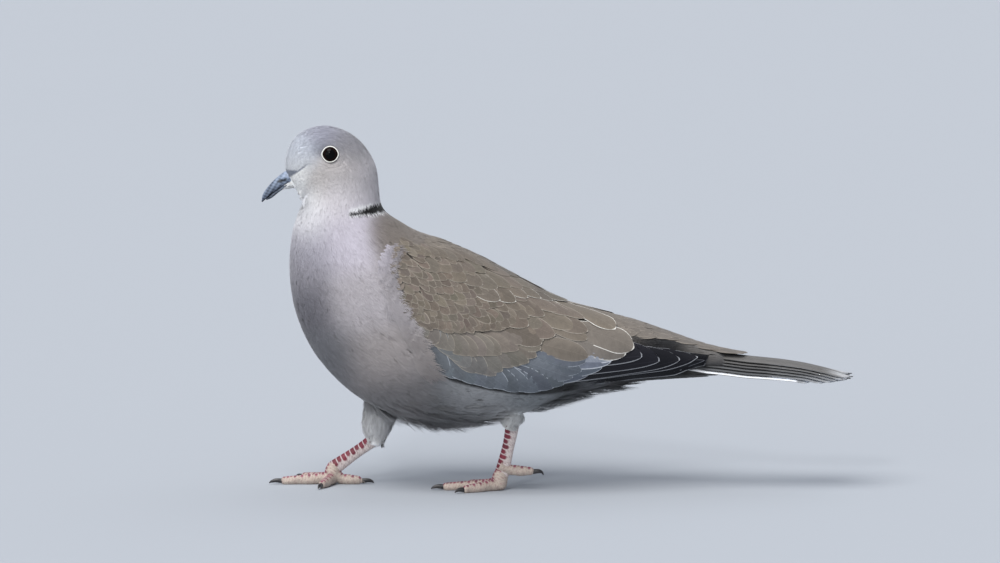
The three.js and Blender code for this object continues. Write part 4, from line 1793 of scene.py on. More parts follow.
def web(top: Array, below: Array, facing: Array, **extras: tuple[Array, Array]) -> Stock:
    """Closes flat webs from their two faces.

    Args:
        top: The upper faces' points, as feather, row, column, XYZ.
        below: The lower faces' points.
        facing: The upper faces' normals.
        extras: Attributes of the upper and the lower faces.

    Returns:
        The webs.
    """
    count, rows, columns = top.shape[:3]
    per = rows * columns
    where = np.arange(per).reshape(rows, columns)
    upper = np.stack([where[:-1, :-1], where[:-1, 1:], where[1:, 1:], where[1:, :-1]], -1).reshape(-1, 4)
    rim = np.concatenate([where[:, 0], where[-1, 1:], where[-2::-1, -1], where[0, -2:0:-1]])
    after = np.roll(rim, -1)
    edge = np.column_stack([rim, after, after + per, rim + per])
    local = np.concatenate([upper, upper[:, ::-1] + per, edge])
    row, column = rows // 2, columns // 2
    corner = top[0, row, column]
    turn = np.cross(top[0, row, column + 1] - corner, top[0, row + 1, column] - corner)
    if np.dot(turn, facing[0, row, column]) < 0:
        local = local[:, ::-1]
    faces = (local[None] + (np.arange(count) * per * 2)[:, None, None]).reshape(-1, 4)
    wide = lambda one: np.broadcast_to(one, (*top.shape[:3], one.shape[-1])).reshape(count, per, -1)
    join = lambda pair: np.concatenate([wide(one) for one in pair], 1).reshape(count * per * 2, -1)
    stock, pairs = Stock(), {"facing": (facing, -facing), **extras}
    stock.add(join((top, below)), [faces], **{name: join(pair) for name, pair in pairs.items()})
    return stock


@dataclass
class Vanes:
    """Flat feathers of one kind, laid on a surface; every number is in millimetres.

    Attributes:
        surface: What they lie on.
        along: How many steps a feather has from root to tip.
        across: How many steps it has from edge to edge.
        thickness: How thick its web is.
        root_height: How high its root stands over the surface.
        tip_height: How high its tip stands.
        camber: How much higher its shaft is than its edges.
        taper: The root's width against the widest part.
        blunt: How late the tip starts to round, from 0 to 1.
        roll: How much higher the lower edge lies than the shaft.
    """

    surface: Form
    along: int = 7
    across: int = 4
    thickness: float = 0.12
    root_height: float = -0.8
    tip_height: float = 0.35
    camber: float = 0.22
    taper: float = 0.45
    blunt: float = 0.55
    roll: float = 0.1

    def lay(
        self, roots: Array, tips: Array, halves: Array, tone: Array, fringe: Array,
        rng: np.random.Generator, atlas: Atlas, fringe_width: float, rise: Array,
        bow: Array | float, tip_fringe: float,
    ) -> Stock:
        """Lays the feathers.

        Args:
            roots: The roots, in metres.
            tips: The tips, in metres.
            halves: Each feather's half widths below and above its shaft, one row each.
            tone: The webs' colours.
            fringe: The edges' colours.
            rng: The source of chance.
            atlas: The piece's OFBake map.
            fringe_width: How wide the pale edge is.
            rise: How much higher than its kind each feather lies.
            bow: How far the middle of its shaft bends upwards.
            tip_fringe: How much wider the fringe is at the tip.

        Returns:
            The feathers.
        """
        count, rows, columns = len(roots), self.along + 1, self.across + 1
        step = np.linspace(0, 1, rows)
        t = 1 - (1 - step) ** 1.9
        s = np.linspace(-1, 1, columns)
        bow = np.broadcast_to(bow, count).astype(float)
        _, normal = self.surface.under((roots + tips) / 2)
        shaft = tips - roots
        length = np.linalg.norm(shaft, axis=1)
        upward = unit(np.cross(normal, shaft))
        round_off = np.sqrt(np.clip(1 - (np.clip(t - self.blunt, 0, 1) / (1 - self.blunt)) ** 2.2, 0, 1))
        swell = self.taper + (1 - self.taper) * ease(t, 0, 0.5)
        width = np.maximum(swell * round_off, 0.05)
        line = roots[:, None] + shaft[:, None] * t[None, :, None]
        line = line + upward[:, None] * (bow[:, None] * MM * 4 * t * (1 - t))[..., None]
        half = np.where(s[None, :] < 0, halves[:, :1], halves[:, 1:])
        half = np.where(np.abs(s)[None, :] < 1e-6, halves.mean(1)[:, None], half)
        offset = s[None, None, :] * half[:, None, :] * width[None, :, None]
        behind = 0.35 * ease(t, 0.3, 1) * round_off
        lag = (np.abs(s) ** 2)[None, None, :] * half[:, None, :] * behind[None, :, None]
        grid = line[:, :, None] + upward[:, None, None] * offset[..., None] * MM
        grid = grid - unit(shaft)[:, None, None] * (lag * MM)[..., None]
        found, normals = self.surface.under(grid.reshape(-1, 3))
        climb = self.root_height + (self.tip_height - self.root_height) * t[None, :, None] ** 0.8
        arch = self.camber * (1 - s[None, None, :] ** 2) * width[None, :, None]
        press = -0.1 * ease(t, 0.86, 1.0)[None, :, None]
        roll = -self.roll * s[None, None, :] * width[None, :, None]
        height = (climb + arch + press + roll + rise[:, None, None]).reshape(-1, 1) * MM
        top = (found + normals * height).reshape(count, rows, columns, 3)
        normals = normals.reshape(count, rows, columns, 3)
        facing = np.cross(np.gradient(top, axis=1), np.gradient(top, axis=2))
        facing *= np.sign((facing * normals).sum(-1, keepdims=True))
        facing = unit(unit(facing) + 0.8 * normals)
        below = top - normals * self.thickness * MM
        stack = lambda *parts: np.stack(np.broadcast_arrays(*parts), -1)
        run, length = t[None, :, None], length[:, None, None]
        lay = stack(run * length / MM, s, rng.random(count)[:, None, None])
        edge = fringe_width * (1 + (tip_fringe - 1) * ease(run, 0.7, 0.97))
        gauge = stack(half[:, None, :] * width[None, :, None], (1 - run) * length / MM, edge)
        corner, size = atlas.squares(count)
        reach = stack((s[None, :] + 1) / 2, t[:, None])
        bake = corner[:, None, None] + reach[None] * size + 0.03 * size
        both = {"tone": tone[:, None, None], "fringe": fringe[:, None, None], "lay": lay, "gauge": gauge,
                "bake": bake}
        return web(top, below, facing, **{name: (one, one) for name, one in both.items()})


@dataclass(frozen=True)
class Row:
    """One row of wing feathers, from the front one to the rear one, in millimetres.

    Attributes:
        tips: X and Z of some tips along the row.
        count: How many feathers it has.
        length: Their length at the front and at the rear.
        droop: How far they point below the level, in degrees, at the front and at the rear.
        half: Half widths below and above the shaft.
        tone: The web's colour at the front and at the rear.
        fringe: The edge's colour.
        fringe_width: How wide the edge's colour is.
        rise: How much higher than the rest of the wing it lies.
        bow: How far the shafts bend upwards, at the front and at the rear.
        tip_fringe: How much wider the fringe is at the tips.
        shingle: How much higher each feather lies than the one in front.
        jitter: How far the tips stray.
        half_first: The first feather's half widths, where they differ from the last one's.
    """

    tips: tuple[tuple[float, float], ...]
    count: int
    length: tuple[float, float]
    droop: tuple[float, float]
    half: tuple[float, float]
    tone: tuple[tuple[int, int, int], tuple[int, int, int]]
    fringe: tuple[int, int, int] = (196, 190, 182)
    fringe_width: float = 0.35
    rise: float = 0.0
    bow: tuple[float, float] = (0.0, 0.0)
    tip_fringe: float = 1.3
    shingle: float = 0.0
    jitter: float = 0.4
    half_first: tuple[float, float] | None = None

    def build(self, vanes: Vanes, rng: np.random.Generator, atlas: Atlas) -> Stock:
        """Lays the row on the left wing.

        Args:
            vanes: The kind of feather.
            rng: The source of chance.
            atlas: The piece's OFBake map.

        Returns:
            The feathers.
        """
        share = np.linspace(0, 1, self.count)
        tips = through(self.tips, share * (len(self.tips) - 1))
        tips = tips + rng.normal(0, self.jitter, tips.shape)
        length = blend(*self.length, share) * rng.normal(1, 0.02, self.count)
        droop = np.radians(blend(*self.droop, share) + rng.normal(0, 1.2, self.count))
        roots = tips - np.column_stack([np.cos(droop), -np.sin(droop)]) * length[:, None]
        tone = blend(srgb(*self.tone[0]), srgb(*self.tone[1]), share[:, None])
        tone = tone * rng.normal(1, 0.08, (self.count, 1)) * rng.normal(1, 0.012, (self.count, 3))
        halves = blend(np.array(self.half_first or self.half), np.array(self.half), share[:, None])
        halves = halves * rng.normal(1, 0.03, (self.count, 1))
        rise = self.rise + self.shingle * np.arange(self.count) + rng.normal(0, 0.015, self.count)
        fringe = np.repeat(srgb(*self.fringe)[None], self.count, 0)
        return vanes.lay(
            side_on(vanes.surface, roots), side_on(vanes.surface, tips), halves, np.clip(tone, 0, 1),
            fringe, rng, atlas, self.fringe_width, rise, blend(*self.bow, share), self.tip_fringe,
        )


def side_on(surface: Form, places: Array) -> Array:
    """Puts places seen from the left on a surface.

    Args:
        surface: The surface.
        places: Their X and Z, in millimetres.

    Returns:
        The points, in metres.
    """
    tree = surface.search()
    out = np.empty((len(places), 3))
    for k, (x, z) in enumerate(places * MM):
        hit = tree.ray_cast(Vector((x, -0.2, z)), Vector((0, 1, 0)))[0]
        if hit is None or hit.y > 0:
            hit = tree.find_nearest(Vector((x, -0.012, z)))[0]
        out[k] = hit
    return out


@dataclass
class Wings:
    """Both folded wings, feather by feather, laid on the wings' outer face.

    Attributes:
        shape: The dove's forms.
        brown: The colour of most coverts.
        lesser_fringe: The edge's colour of the lesser coverts.
        lesser_squares: How many squares of the OFBake map are kept for them.
        front_edge: X and Z of points along the wing's front edge, in millimetres.
        seed: The start of its chance.
    """

    shape: Shape
    brown: tuple[int, int, int] = (107, 98, 88)
    lesser_fringe: tuple[int, int, int] = (130, 122, 112)
    lesser_squares: int = 420
    front_edge: tuple[tuple[float, float], ...] = (
        (-72, 119.5), (-75, 111), (-74.5, 103), (-72, 93.7), (-68.4, 85.4), (-62.7, 75), (-57.5, 64),
    )
    seed: int = 5

    def rows(self) -> dict[str, list[tuple[Vanes, Row]]]:
        """Lists each tract's rows.

        Returns:
            The rows by the tract's name, the lowest first.
        """
        face = self.shape.outer
        brown, none = self.brown, (0.0, 0.0)
        long = Vanes(face, 22, 8, 0.12, -1.1, -0.3, 0.02, 0.5, 0.66, 0.0)
        middle = Vanes(face, 14, 8, 0.12, -1.0, -0.2, 0.12, 0.6, 0.78, 0.05)
        covert = Vanes(face, 10, 8, 0.11, -0.9, 0.05, 0.12, 0.5, 0.6, 0.05)
        small = Vanes(face, 8, 6, 0.1, -0.8, 0.15, 0.1, 0.5, 0.5, 0.0)
        black, dark = (17, 18, 24), (34, 34, 40)
        flight = [
            (long, Row(
                ((61, 59.4), (69, 62.6)), 2, (66, 74), (-8, -8), (2.2, 5), (black, black), (120, 122,
                128), 0.4, -0.45, (-5.4, -5.8), 1.2, 0.1, 0.1,
            )),
            (long, Row(
                ((74.2, 65.6), (65.8, 64.2), (57.5, 63.2), (47.8, 63), (39.6, 65.4)), 5, (84, 52), (-9,
                -3), (3.4, 23.0), (black, dark), (160, 162, 166), 0.5, -0.3, (-6.0, 0.2), 1.15, 0.2,
                0.1, (3.2, 19.0),
            )),
        ]
        secondary = [
            (middle, Row(
                ((14.6, 57.4), (20.7, 60.8)), 2, (38, 40), (-2, -3), (3.2, 6.0), ((98, 104, 115), (108,
                115, 126)), (206, 209, 214), 0.4, 0.3, (-0.6, -0.6), 1.3, 0.09, 0.1,
            )),
            (middle, Row(
                ((24.8, 63.6), (28.2, 66.0)), 2, (40, 38), (0, 3), (3.4, 6.0), ((134, 141, 153), (142,
                147, 157)), (226, 229, 234), 0.55, 0.5, (-0.5, -0.5), 1.3, 0.09, 0.1,
            )),
            (middle, Row(
                ((32.0, 66.8), (35.6, 69.6), (27, 77.5)), 3, (38, 30), (14, 24), (6.4, 7.6), ((118, 112,
                105), brown), (226, 223, 216), 0.45, 0.7, (0.6, 0.6), 1.6, 0.12, 0.2,
            )),
        ]
        coverts = [
            (covert, Row(
                ((-53.5, 60.2), (-49.0, 57.7), (-41, 55.5), (-32.7, 53.5), (-24.2, 51.9), (-15.7, 50.7),
                (-7.3, 50.6), (1.2, 52.5), (8.2, 57.3), (13.4, 63.6)), 16, (23, 29), (60, 14), (4.8,
                4.8), ((94, 99, 104), (106, 112, 120)), (178, 183, 190), 0.3, 0.02, none, 1.3, 0.032,
                0.25,
            )),
            (covert, Row(
                ((14.2, 66.5), (13.6, 74.0)), 2, (28, 28), (16, 24), (5.0, 5.6), ((112, 104, 95),
                brown), (150, 143, 134), 0.3, 0.56, none, 1.3, 0.03, 0.1,
            )),
            (covert, Row(
                ((-55.2, 74.1), (-49.6, 69.4), (-43.9, 64.7), (-38.3, 60.8), (-32.2, 59.4), (-25.6,
                60.2), (-19.5, 62.6), (-13.9, 64.9), (-9.2, 68.5), (-6.8, 73.9)), 15, (17, 21), (60,
                22), (4.3, 4.3), ((100, 103, 105), (112, 104, 94)), (150, 144, 135), 0.34, 0.14, none,
                1.5, 0.025,
            )),
            (covert, Row(
                ((-60, 76), (-52, 72), (-45, 69.5), (-38.5, 68), (-31.5, 67.6), (-24.5, 69), (-17.5,
                71.6), (-11, 75.5), (-7, 80)), 16, (15, 17), (56, 24), (3.9, 3.9), ((112, 108, 102),
                (114, 105, 95)), (142, 134, 123), 0.34, 0.2, none, 1.5, 0.022,
            )),
            (small, Row(
                ((-65.6, 86.8), (-59.9, 81.6), (-53.3, 79.3), (-46.8, 78.7), (-40.7, 79.2), (-34.5,
                79.5), (-28.4, 79.8), (-21.9, 80.6), (-15.7, 82.1), (-10.6, 85)), 18, (11, 14), (52,
                28), (3.4, 3.4), (brown, brown), (132, 124, 113), 0.36, 0.22, none, 1.5, 0.022, 0.5,
            )),
        ]
        scapular = [
            (covert, Row(
                ((-7.8, 73), (-1, 76), (8, 79), (14.3, 76.8)), 4, (24, 28), (28, 24), (5.6, 5.6),
                (brown, brown), (164, 157, 147), 0.32, 0.6, none, 1.4, 0.04, 0.3,
            )),
            (covert, Row(
                ((-14, 81), (-4, 85.4), (4.5, 84.5), (12, 82.2)), 5, (22, 26), (30, 26), (5.2, 5.2),
                (brown, brown), (166, 160, 150), 0.32, 0.64, none, 1.4, 0.03, 0.3,
            )),
            (covert, Row(
                ((-27, 92), (-18, 91.5), (-11, 92), (-3.5, 90.2), (4.9, 88.3)), 6, (19, 23), (31, 27),
                (4.9, 4.9), (brown, brown), (200, 197, 190), 0.32, 0.62, none, 1.4, 0.02, 0.3,
            )),
            (covert, Row(
                ((-42, 101), (-32, 98.5), (-22, 97), (-13.9, 95.8), (-5.4, 92.9)), 7, (16, 20), (31,
                28), (4.6, 4.6), (brown, brown), (150, 144, 134), 0.32, 0.56, none, 1.4, 0.02, 0.3,
            )),
            (covert, Row(
                ((-54, 107), (-46, 106), (-36, 104.5), (-27, 103), (-18, 99.5)), 8, (13, 18), (31, 29),
                (4.2, 4.2), (brown, brown), (134, 127, 117), 0.3, 0.46, none, 1.4, 0.01, 0.4,
            )),
            (small, Row(
                ((-62, 113), (-54, 112), (-45, 109.6), (-36, 107), (-28, 104)), 10, (9, 15), (33, 29),
                (3.6, 3.6), (brown, brown), (130, 122, 112), 0.3, 0.36, none, 1.4, 0.01, 0.4,
            )),
        ]
        return {"wing_primaries": flight, "wing_secondaries": secondary, "wing_coverts": coverts,
                "scapulars": scapular}

    def lesser(self, rng: np.random.Generator, atlas: Atlas) -> Stock:
        """Lays the small coverts between the wing's front edge and the median row.

        Args:
            rng: The source of chance.
            atlas: The piece's OFBake map.

        Returns:
            The feathers.
        """
        front = through(self.front_edge, np.linspace(0, len(self.front_edge) - 1, 60))
        spots = rng.uniform((-76, 76), (-8, 119), (2600, 2))
        edge = np.interp(spots[:, 1], front[::-1, 1], front[::-1, 0])
        low = np.interp(spots[:, 0], [-68, -60, -53, -40, -28, -16, -9], [84, 79, 77, 77, 78, 81, 85])
        high = np.interp(spots[:, 0], [-76, -64, -45, -26, -8], [119, 117, 107.5, 97, 88])
        spots = spots[(spots[:, 0] > edge - 0.5) & (spots[:, 1] > low + 1) & (spots[:, 1] < high)]
        keep: list[int] = []
        for k, spot in enumerate(spots):
            room = 2.5 + 1.0 * (spot[0] + 76) / 60
            near = (spots[m] - spot for m in keep)
            if all(abs(off).max() > room * 0.8 or np.hypot(*off) > room for off in near):
                keep.append(k)
        tips = spots[keep]
        tips = tips[np.argsort(-tips[:, 0])]
        front_share = ease(-tips[:, 0], 20, 72)
        droop = np.radians(29 + 24 * front_share * (0.35 + 0.65 * ease(-tips[:, 1], -112, -74)))
        droop = droop + rng.normal(0, 0.13, len(tips))
        room = tips[:, 0] - np.interp(tips[:, 1], front[::-1, 1], front[::-1, 0]) + 1.5
        length = (11.5 - 3.0 * front_share) * rng.normal(1, 0.06, len(tips))
        length = np.minimum(length, np.maximum(room, 3.0))
        roots = tips - np.column_stack([np.cos(droop), -np.sin(droop)]) * length[:, None]
        half = np.repeat((3.1 - 0.9 * front_share)[:, None], 2, 1) * rng.normal(1, 0.07, (len(tips), 1))
        tone = srgb(*self.brown) * rng.normal(1, 0.12, (len(tips), 1))
        tone = tone * rng.normal(1, 0.02, (len(tips), 3))
        fringe = srgb(*self.lesser_fringe)[None] * rng.normal(1, 0.1, (len(tips), 1))
        face = self.shape.outer
        vanes = Vanes(face, 7, 6, 0.1, -0.7, 0.12, 0.08, 0.5, 0.45, 0.0)
        rise = 0.34 + 0.16 * ease(tips[:, 0], -60, -10) + rng.normal(0, 0.03, len(tips))
        return vanes.lay(
            side_on(face, roots), side_on(face, tips), half, tone, fringe, rng, atlas, 0.55, rise, 0.0, 1.2
        )

    def build(self) -> None:
        """Builds both wings."""
        vane = VaneFinish().make()
        black = VaneFinish(
            "flight_vane", 0.56, quill=0.6, streaks=0.3, mottle=0.1, pale_edge=0.1, gloss=0.15
        ).make()
        rng = np.random.default_rng(self.seed)
        for name, rows in self.rows().items():
            stock, flight = Stock(), name == "wing_primaries"
            extra = self.lesser_squares if name == "wing_coverts" else 0
            atlas = Atlas(math.ceil(math.sqrt(sum(row.count for _, row in rows) + extra)))
            for vanes, row in rows:
                merge(stock, row.build(vanes, rng, atlas))
            if extra:
                merge(stock, self.lesser(rng, atlas))
            LOG.info("%s: %d feathers in a map of %d by %d", name, atlas.used, atlas.across, atlas.across)
            for side in Side:
                half = stock if side is Side.LEFT else stock.mirrored()
                nodes = [f"{name}_{side.word}"] if name.startswith("wing") else []
                half.make(f"{name}_feathers_{side.word}", black if flight else vane,
                          "flight_feathers" if flight else "wing_feathers", *nodes)


@dataclass
class Mantle:
    """The rounded feathers of the back between the wings, and of the rump behind them.

    Attributes:
        shape: The dove's forms.
        edge: Places u, and how near the top the feathers start there, from 0 below to 1 above.
        stations: The places u of the next three, in millimetres.
        gaps: The distance between roots.
        lengths: The feathers' length, whose fourth place is a little further back.
        halves: Half their width.
        tone_front: The web's colour at the front.
        tone_rear: The web's colour at the rear.
        fringe: The edge's colour.
        seed: The start of its chance.
    """

    shape: Shape
    edge: tuple[tuple[float, float], ...] = (
        (8.6, 0.86), (9.6, 0.74), (11, 0.68), (13, 0.72), (13.9, 0.80), (14.9, 0.84), (15.6, 0.82),
        (16.6, 0.8),
    )
    stations: tuple[float, ...] = (8.6, 10, 13, 16, 18)
    gaps: tuple[float, ...] = (2.4, 3.2, 3.8, 3.4, 3.0)
    lengths: tuple[tuple[float, float], ...] = ((8.6, 7.5), (10, 10.5), (13, 15), (16.6, 15), (18, 11))
    halves: tuple[float, ...] = (2.1, 2.8, 3.4, 2.7, 2.3)
    tone_front: tuple[int, int, int] = (116, 108, 99)
    tone_rear: tuple[int, int, int] = (110, 104, 98)
    fringe: tuple[int, int, int] = (138, 130, 121)
    seed: int = 31

    def gap(self, u: Array, v: Array) -> Array:
        """Spaces the roots.

        Args:
            u: The places along the bird.
            v: The places round it.

        Returns:
            The distance between roots, in metres; 0 off the back.
        """
        places, sides = np.array(self.edge).T
        inside = 1 - np.abs(2 * v - 1) > np.interp(u, places, sides)
        return np.where(inside, np.interp(u, self.stations, self.gaps) * MM, 0.0)

    def build(self) -> None:
        """Builds the feathers."""
        form, rng = self.shape.body, np.random.default_rng(self.seed)
        vane = Vanes(form, 8, 6, 0.09, -0.5, 0.3, 0.1, 0.5, 0.45, 0.0)
        u, v = form.scatter(rng, self.gap, 8.7, 16.4)
        roots = form.at(u, v)
        length = np.interp(u, *np.array(self.lengths).T) * rng.normal(1, 0.05, len(u)) * MM
        way = unit(form.read(form.along, u, v)) * length[:, None]
        du, dv = form.steps(u, v, way)
        tips = form.at(u + du, v + dv)
        half = np.interp(u, self.stations, self.halves)[:, None] * rng.normal(1, 0.04, (len(u), 1))
        share = ease(u, 12, 15)[:, None]
        tone = blend(srgb(*self.tone_front), srgb(*self.tone_rear), share)
        tone = tone * rng.normal(1, 0.08, (len(u), 1))
        fringe = np.repeat(srgb(*self.fringe)[None], len(u), 0)
        rise = rng.uniform(-0.04, 0.04, len(u)) + 0.12 * (1 - share[:, 0])
        upper = 1 - np.abs(2 * v - 1)
        rise = rise + 0.8 * (1 - ease(upper, 0.7, 0.82)) * (1 - ease(u, 13, 13.8))
        atlas, halves = Atlas(math.ceil(math.sqrt(len(u)))), np.repeat(half, 2, 1)
        stock = vane.lay(roots, tips, halves, tone, fringe, rng, atlas, 0.35, rise, 0.0, 1.3)
        stock.make("mantle_feathers", VaneFinish("mantle_vane", 0.7).make(), "plumage")


# ---------------------------------------------------------------- the tail


@dataclass
class Tail:
    """The twelve tail feathers, the middle pair on top.

    Attributes:
        pairs: How many pairs there are.
        rows: How many steps a feather has from root to tip.
        columns: How many it has from edge to edge.
        thickness: How thick its web is, in millimetres.
        middle_tone: The middle pair's colour.
        outer_tone: The outer pair's colour.
        pale_tip: The colour of the tips.
        under_root: The colour of the undersides near the root.
        outline: The colour of the edges.
    """

    pairs: int = 6
    rows: int = 40
    columns: int = 9
    thickness: float = 0.3
    middle_tone: tuple[int, int, int] = (99, 97, 95)
    outer_tone: tuple[int, int, int] = (95, 98, 102)
    pale_tip: tuple[int, int, int] = (242, 245, 250)
    under_root: tuple[int, int, int] = (36, 36, 38)
    outline: tuple[int, int, int] = (40, 40, 42)

    def build(self) -> None:
        """Builds the feathers of each side as one piece."""
        for side in Side:
            stock = Stock()
            names = [f"tail_feather_{pair}_{side.word}" for pair in range(1, self.pairs + 1)]
            for pair, name in enumerate(names):
                merge(stock, self.feather(name, side, pair))
            finish = VaneFinish("tail_vane", quill=-0.25).make()
            stock.make(f"tail_feathers_{side.word}", finish, "tail_feathers", *names)

    def feather(self, name: str, side: Side, pair: int) -> Stock:
        """Builds one feather over its CAD node.

        Args:
            name: The node.
            side: Its side of the tail.
            pair: Its pair, counted from 0 at the middle.

        Returns:
            The feather.
        """
        points = np.array([vertex.co[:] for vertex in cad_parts[name].data.vertices])
        tree = tree_of(name)
        low, high = points.min(0), points.max(0)
        hidden = 0.016 if pair > 1 else 0.004
        x = np.linspace(low[0] - hidden, high[0], self.rows)
        sides, tops = [], []
        probe = np.linspace(low[1] - 0.0005, high[1] + 0.0005, 60)
        for place in np.clip(x, low[0] + 0.0003, high[0] - 0.0004):
            above, down = high[2] + 0.01, Vector((0, 0, -1))
            hits = [(y, tree.ray_cast(Vector((place, y, above)), down)[0]) for y in probe]
            known = np.array([(y, hit.z) for y, hit in hits if hit is not None])
            sides.append((known[0, 0], known[-1, 0]))
            level = (0.0, known[:, 1].mean())
            tops.append(np.polyfit(known[:, 0], known[:, 1], 1) if len(known) > 4 else level)
        sides, tops = soften(np.array(sides), 1.2, 0.01), soften(np.array(tops), 1.2, 0.01)
        before = np.maximum(low[0] - x, 0)
        sides *= (1 - 9 * before)[:, None]
        tops[:, 1] += before * 0.1
        s = np.linspace(-1, 1, self.columns)
        t = (x - x[0]) / (x[-1] - x[0])
        middle, half = sides.mean(1), (sides[:, 1] - sides[:, 0]) / 2
        round_off = np.sqrt(np.clip(1 - (np.clip(t - 0.93, 0, 1) / 0.07) ** 2.4, 0.02, 1))
        y = middle[:, None] + s * half[:, None] * round_off[:, None]
        z = tops[:, :1] * y + tops[:, 1:] + (0.12 + 0.15 * (1 - s**2)) * MM
        grid_x = x[:, None] - (s**2)[None] * 0.0022 * ease(t, 0.8, 1)[:, None]
        top = np.stack([np.broadcast_to(grid_x, y.shape), y, z], -1)[None]
        below = top - [0, 0, self.thickness * MM]
        facing = np.cross(np.gradient(top, axis=1), np.gradient(top, axis=2))
        facing = unit(facing * np.sign(facing[..., 2:]))
        length = (x[-1] - x[0]) / MM
        share = pair / (self.pairs - 1)
        base = blend(srgb(*self.middle_tone), srgb(*self.outer_tone), share)
        run = t * length
        pale = ease(run, length - 15 - 9 * share, length - 5 - 7 * share)
        pale = pale * (0.45 + 0.5 * ease(share, 0, 0.35))
        near_edge = 1 - 0.8 * ease(np.abs(s), 0.45, 0.8) * (1 - ease(run, length - 7, length - 2))[:, None]
        tone = blend(base, srgb(*self.pale_tip), (pale[:, None] * near_edge)[..., None])
        outer_edge = (s * side.value > 0.55) & (x[:, None] / MM < 112)
        if pair == self.pairs - 1:
            tone = np.where(outer_edge[..., None], srgb(*self.pale_tip), tone)
        tone = np.broadcast_to(tone, (self.rows, self.columns, 3))
        under_pale = ease(x / MM, 96, 103)[:, None, None]
        under = blend(srgb(*self.under_root), srgb(*self.pale_tip), under_pale)
        under = np.broadcast_to(under, (self.rows, self.columns, 3))
        lay = np.stack(np.broadcast_arrays(t[:, None] * length, s[None], share), -1)
        width = np.broadcast_to((half * round_off)[:, None] / MM, y.shape)
        to_tip = np.broadcast_to((1 - t)[:, None] * length, y.shape)
        gauge = np.stack([width, to_tip, np.full(y.shape, 0.3)], -1)
        mark = 0.8 if pair in (0, 2) else 0.12
        fringe = blend(tone, srgb(*self.outline), mark)
        beside_it = (s[None] + 1) / 2 * 0.12 + pair * 0.16 + 0.02
        patch = np.stack(np.broadcast_arrays(beside_it, t[:, None] * 0.44), -1)
        return web(top, below, facing, tone=(tone, under), fringe=(fringe, under), lay=(lay, lay),
                   gauge=(gauge, gauge), bake=(patch + [0, 0.02], patch + [0, 0.52]))


# ---------------------------------------------------------------- bill, eyes and legs

ACROSS = np.array([0.0, 1.0, 0.0])
FLOOR_GAP = 0.05 * MM


def tube(
    path: Sequence[Sequence[float]], fore: Sequence[float], wide: Sequence[float], side: Array,
    rows: int, sides: int, ridge: Callable | None = None,
) -> tuple[Array, Array, Array]:
    """Makes the rings of a closed tube, none of which goes through the floor.

    Args:
        path: Points along its middle, in millimetres.
        fore: Its radii towards its front or top at these points.
        wide: Its radii towards its sides.
        side: The direction of its side.
        rows: How many rings.
        sides: How many points to a ring.
        ridge: Gives the height added at a distance along and a turn from the front, in millimetres.

    Returns:
        The rings, in metres, with the distance along and the turn of each point.
    """
    share = np.linspace(0, len(path) - 1, rows)
    line, r1, r2 = through(path, share), through(fore, share), through(wide, share)
    way = unit(np.gradient(line, axis=0))
    across = unit(side - way * (way @ side)[:, None])
    front = np.cross(across, way)
    run = np.concatenate([[0], np.cumsum(np.linalg.norm(np.diff(line, axis=0), axis=1))])
    turn = 2 * np.pi * np.arange(sides) / sides
    distance, angle = np.meshgrid(run, turn, indexing="ij")
    extra = ridge(distance, angle) if ridge else 0.0
    out = front[:, None] * ((r1 + extra) * np.cos(turn))[..., None]
    out = out + across[:, None] * ((r2 + extra) * np.sin(turn))[..., None]
    rings = (line[:, None] + out) * MM
    rings[..., 2] = np.maximum(rings[..., 2], FLOOR_GAP)
    return rings, distance, angle


def add_tube(stock: Stock, grid: Array, tone: Array) -> None:
    """Closes rings of points and adds them to a stock, with their faces outward.

    Args:
        stock: The stock.
        grid: The rings, in metres.
        tone: A colour for each point.
    """
    rows, sides = grid.shape[:2]
    ends = np.stack([grid[0].mean(0), grid[-1].mean(0)])
    points = np.vstack([grid.reshape(-1, 3), ends])
    faces = tube_faces(rows, sides)
    middle = rows // 2
    turn = np.cross(grid[middle + 1, 0] - grid[middle, 0], grid[middle, 1] - grid[middle, 0])
    if np.dot(turn, grid[middle, 0] - grid[middle].mean(0)) < 0:
        faces = [block[:, ::-1] for block in faces]
    tones = np.vstack([tone.reshape(-1, 3), tone[0].mean(0), tone[-1].mean(0)])
    stock.add(points, faces, tone=tones)


@dataclass(frozen=True)
class Mandible:
    """One half of the bill: rows of top X, Z, bottom X, Z and half width, in millimetres."""

    name: str
    rows: tuple[tuple[float, float, float, float, float], ...]


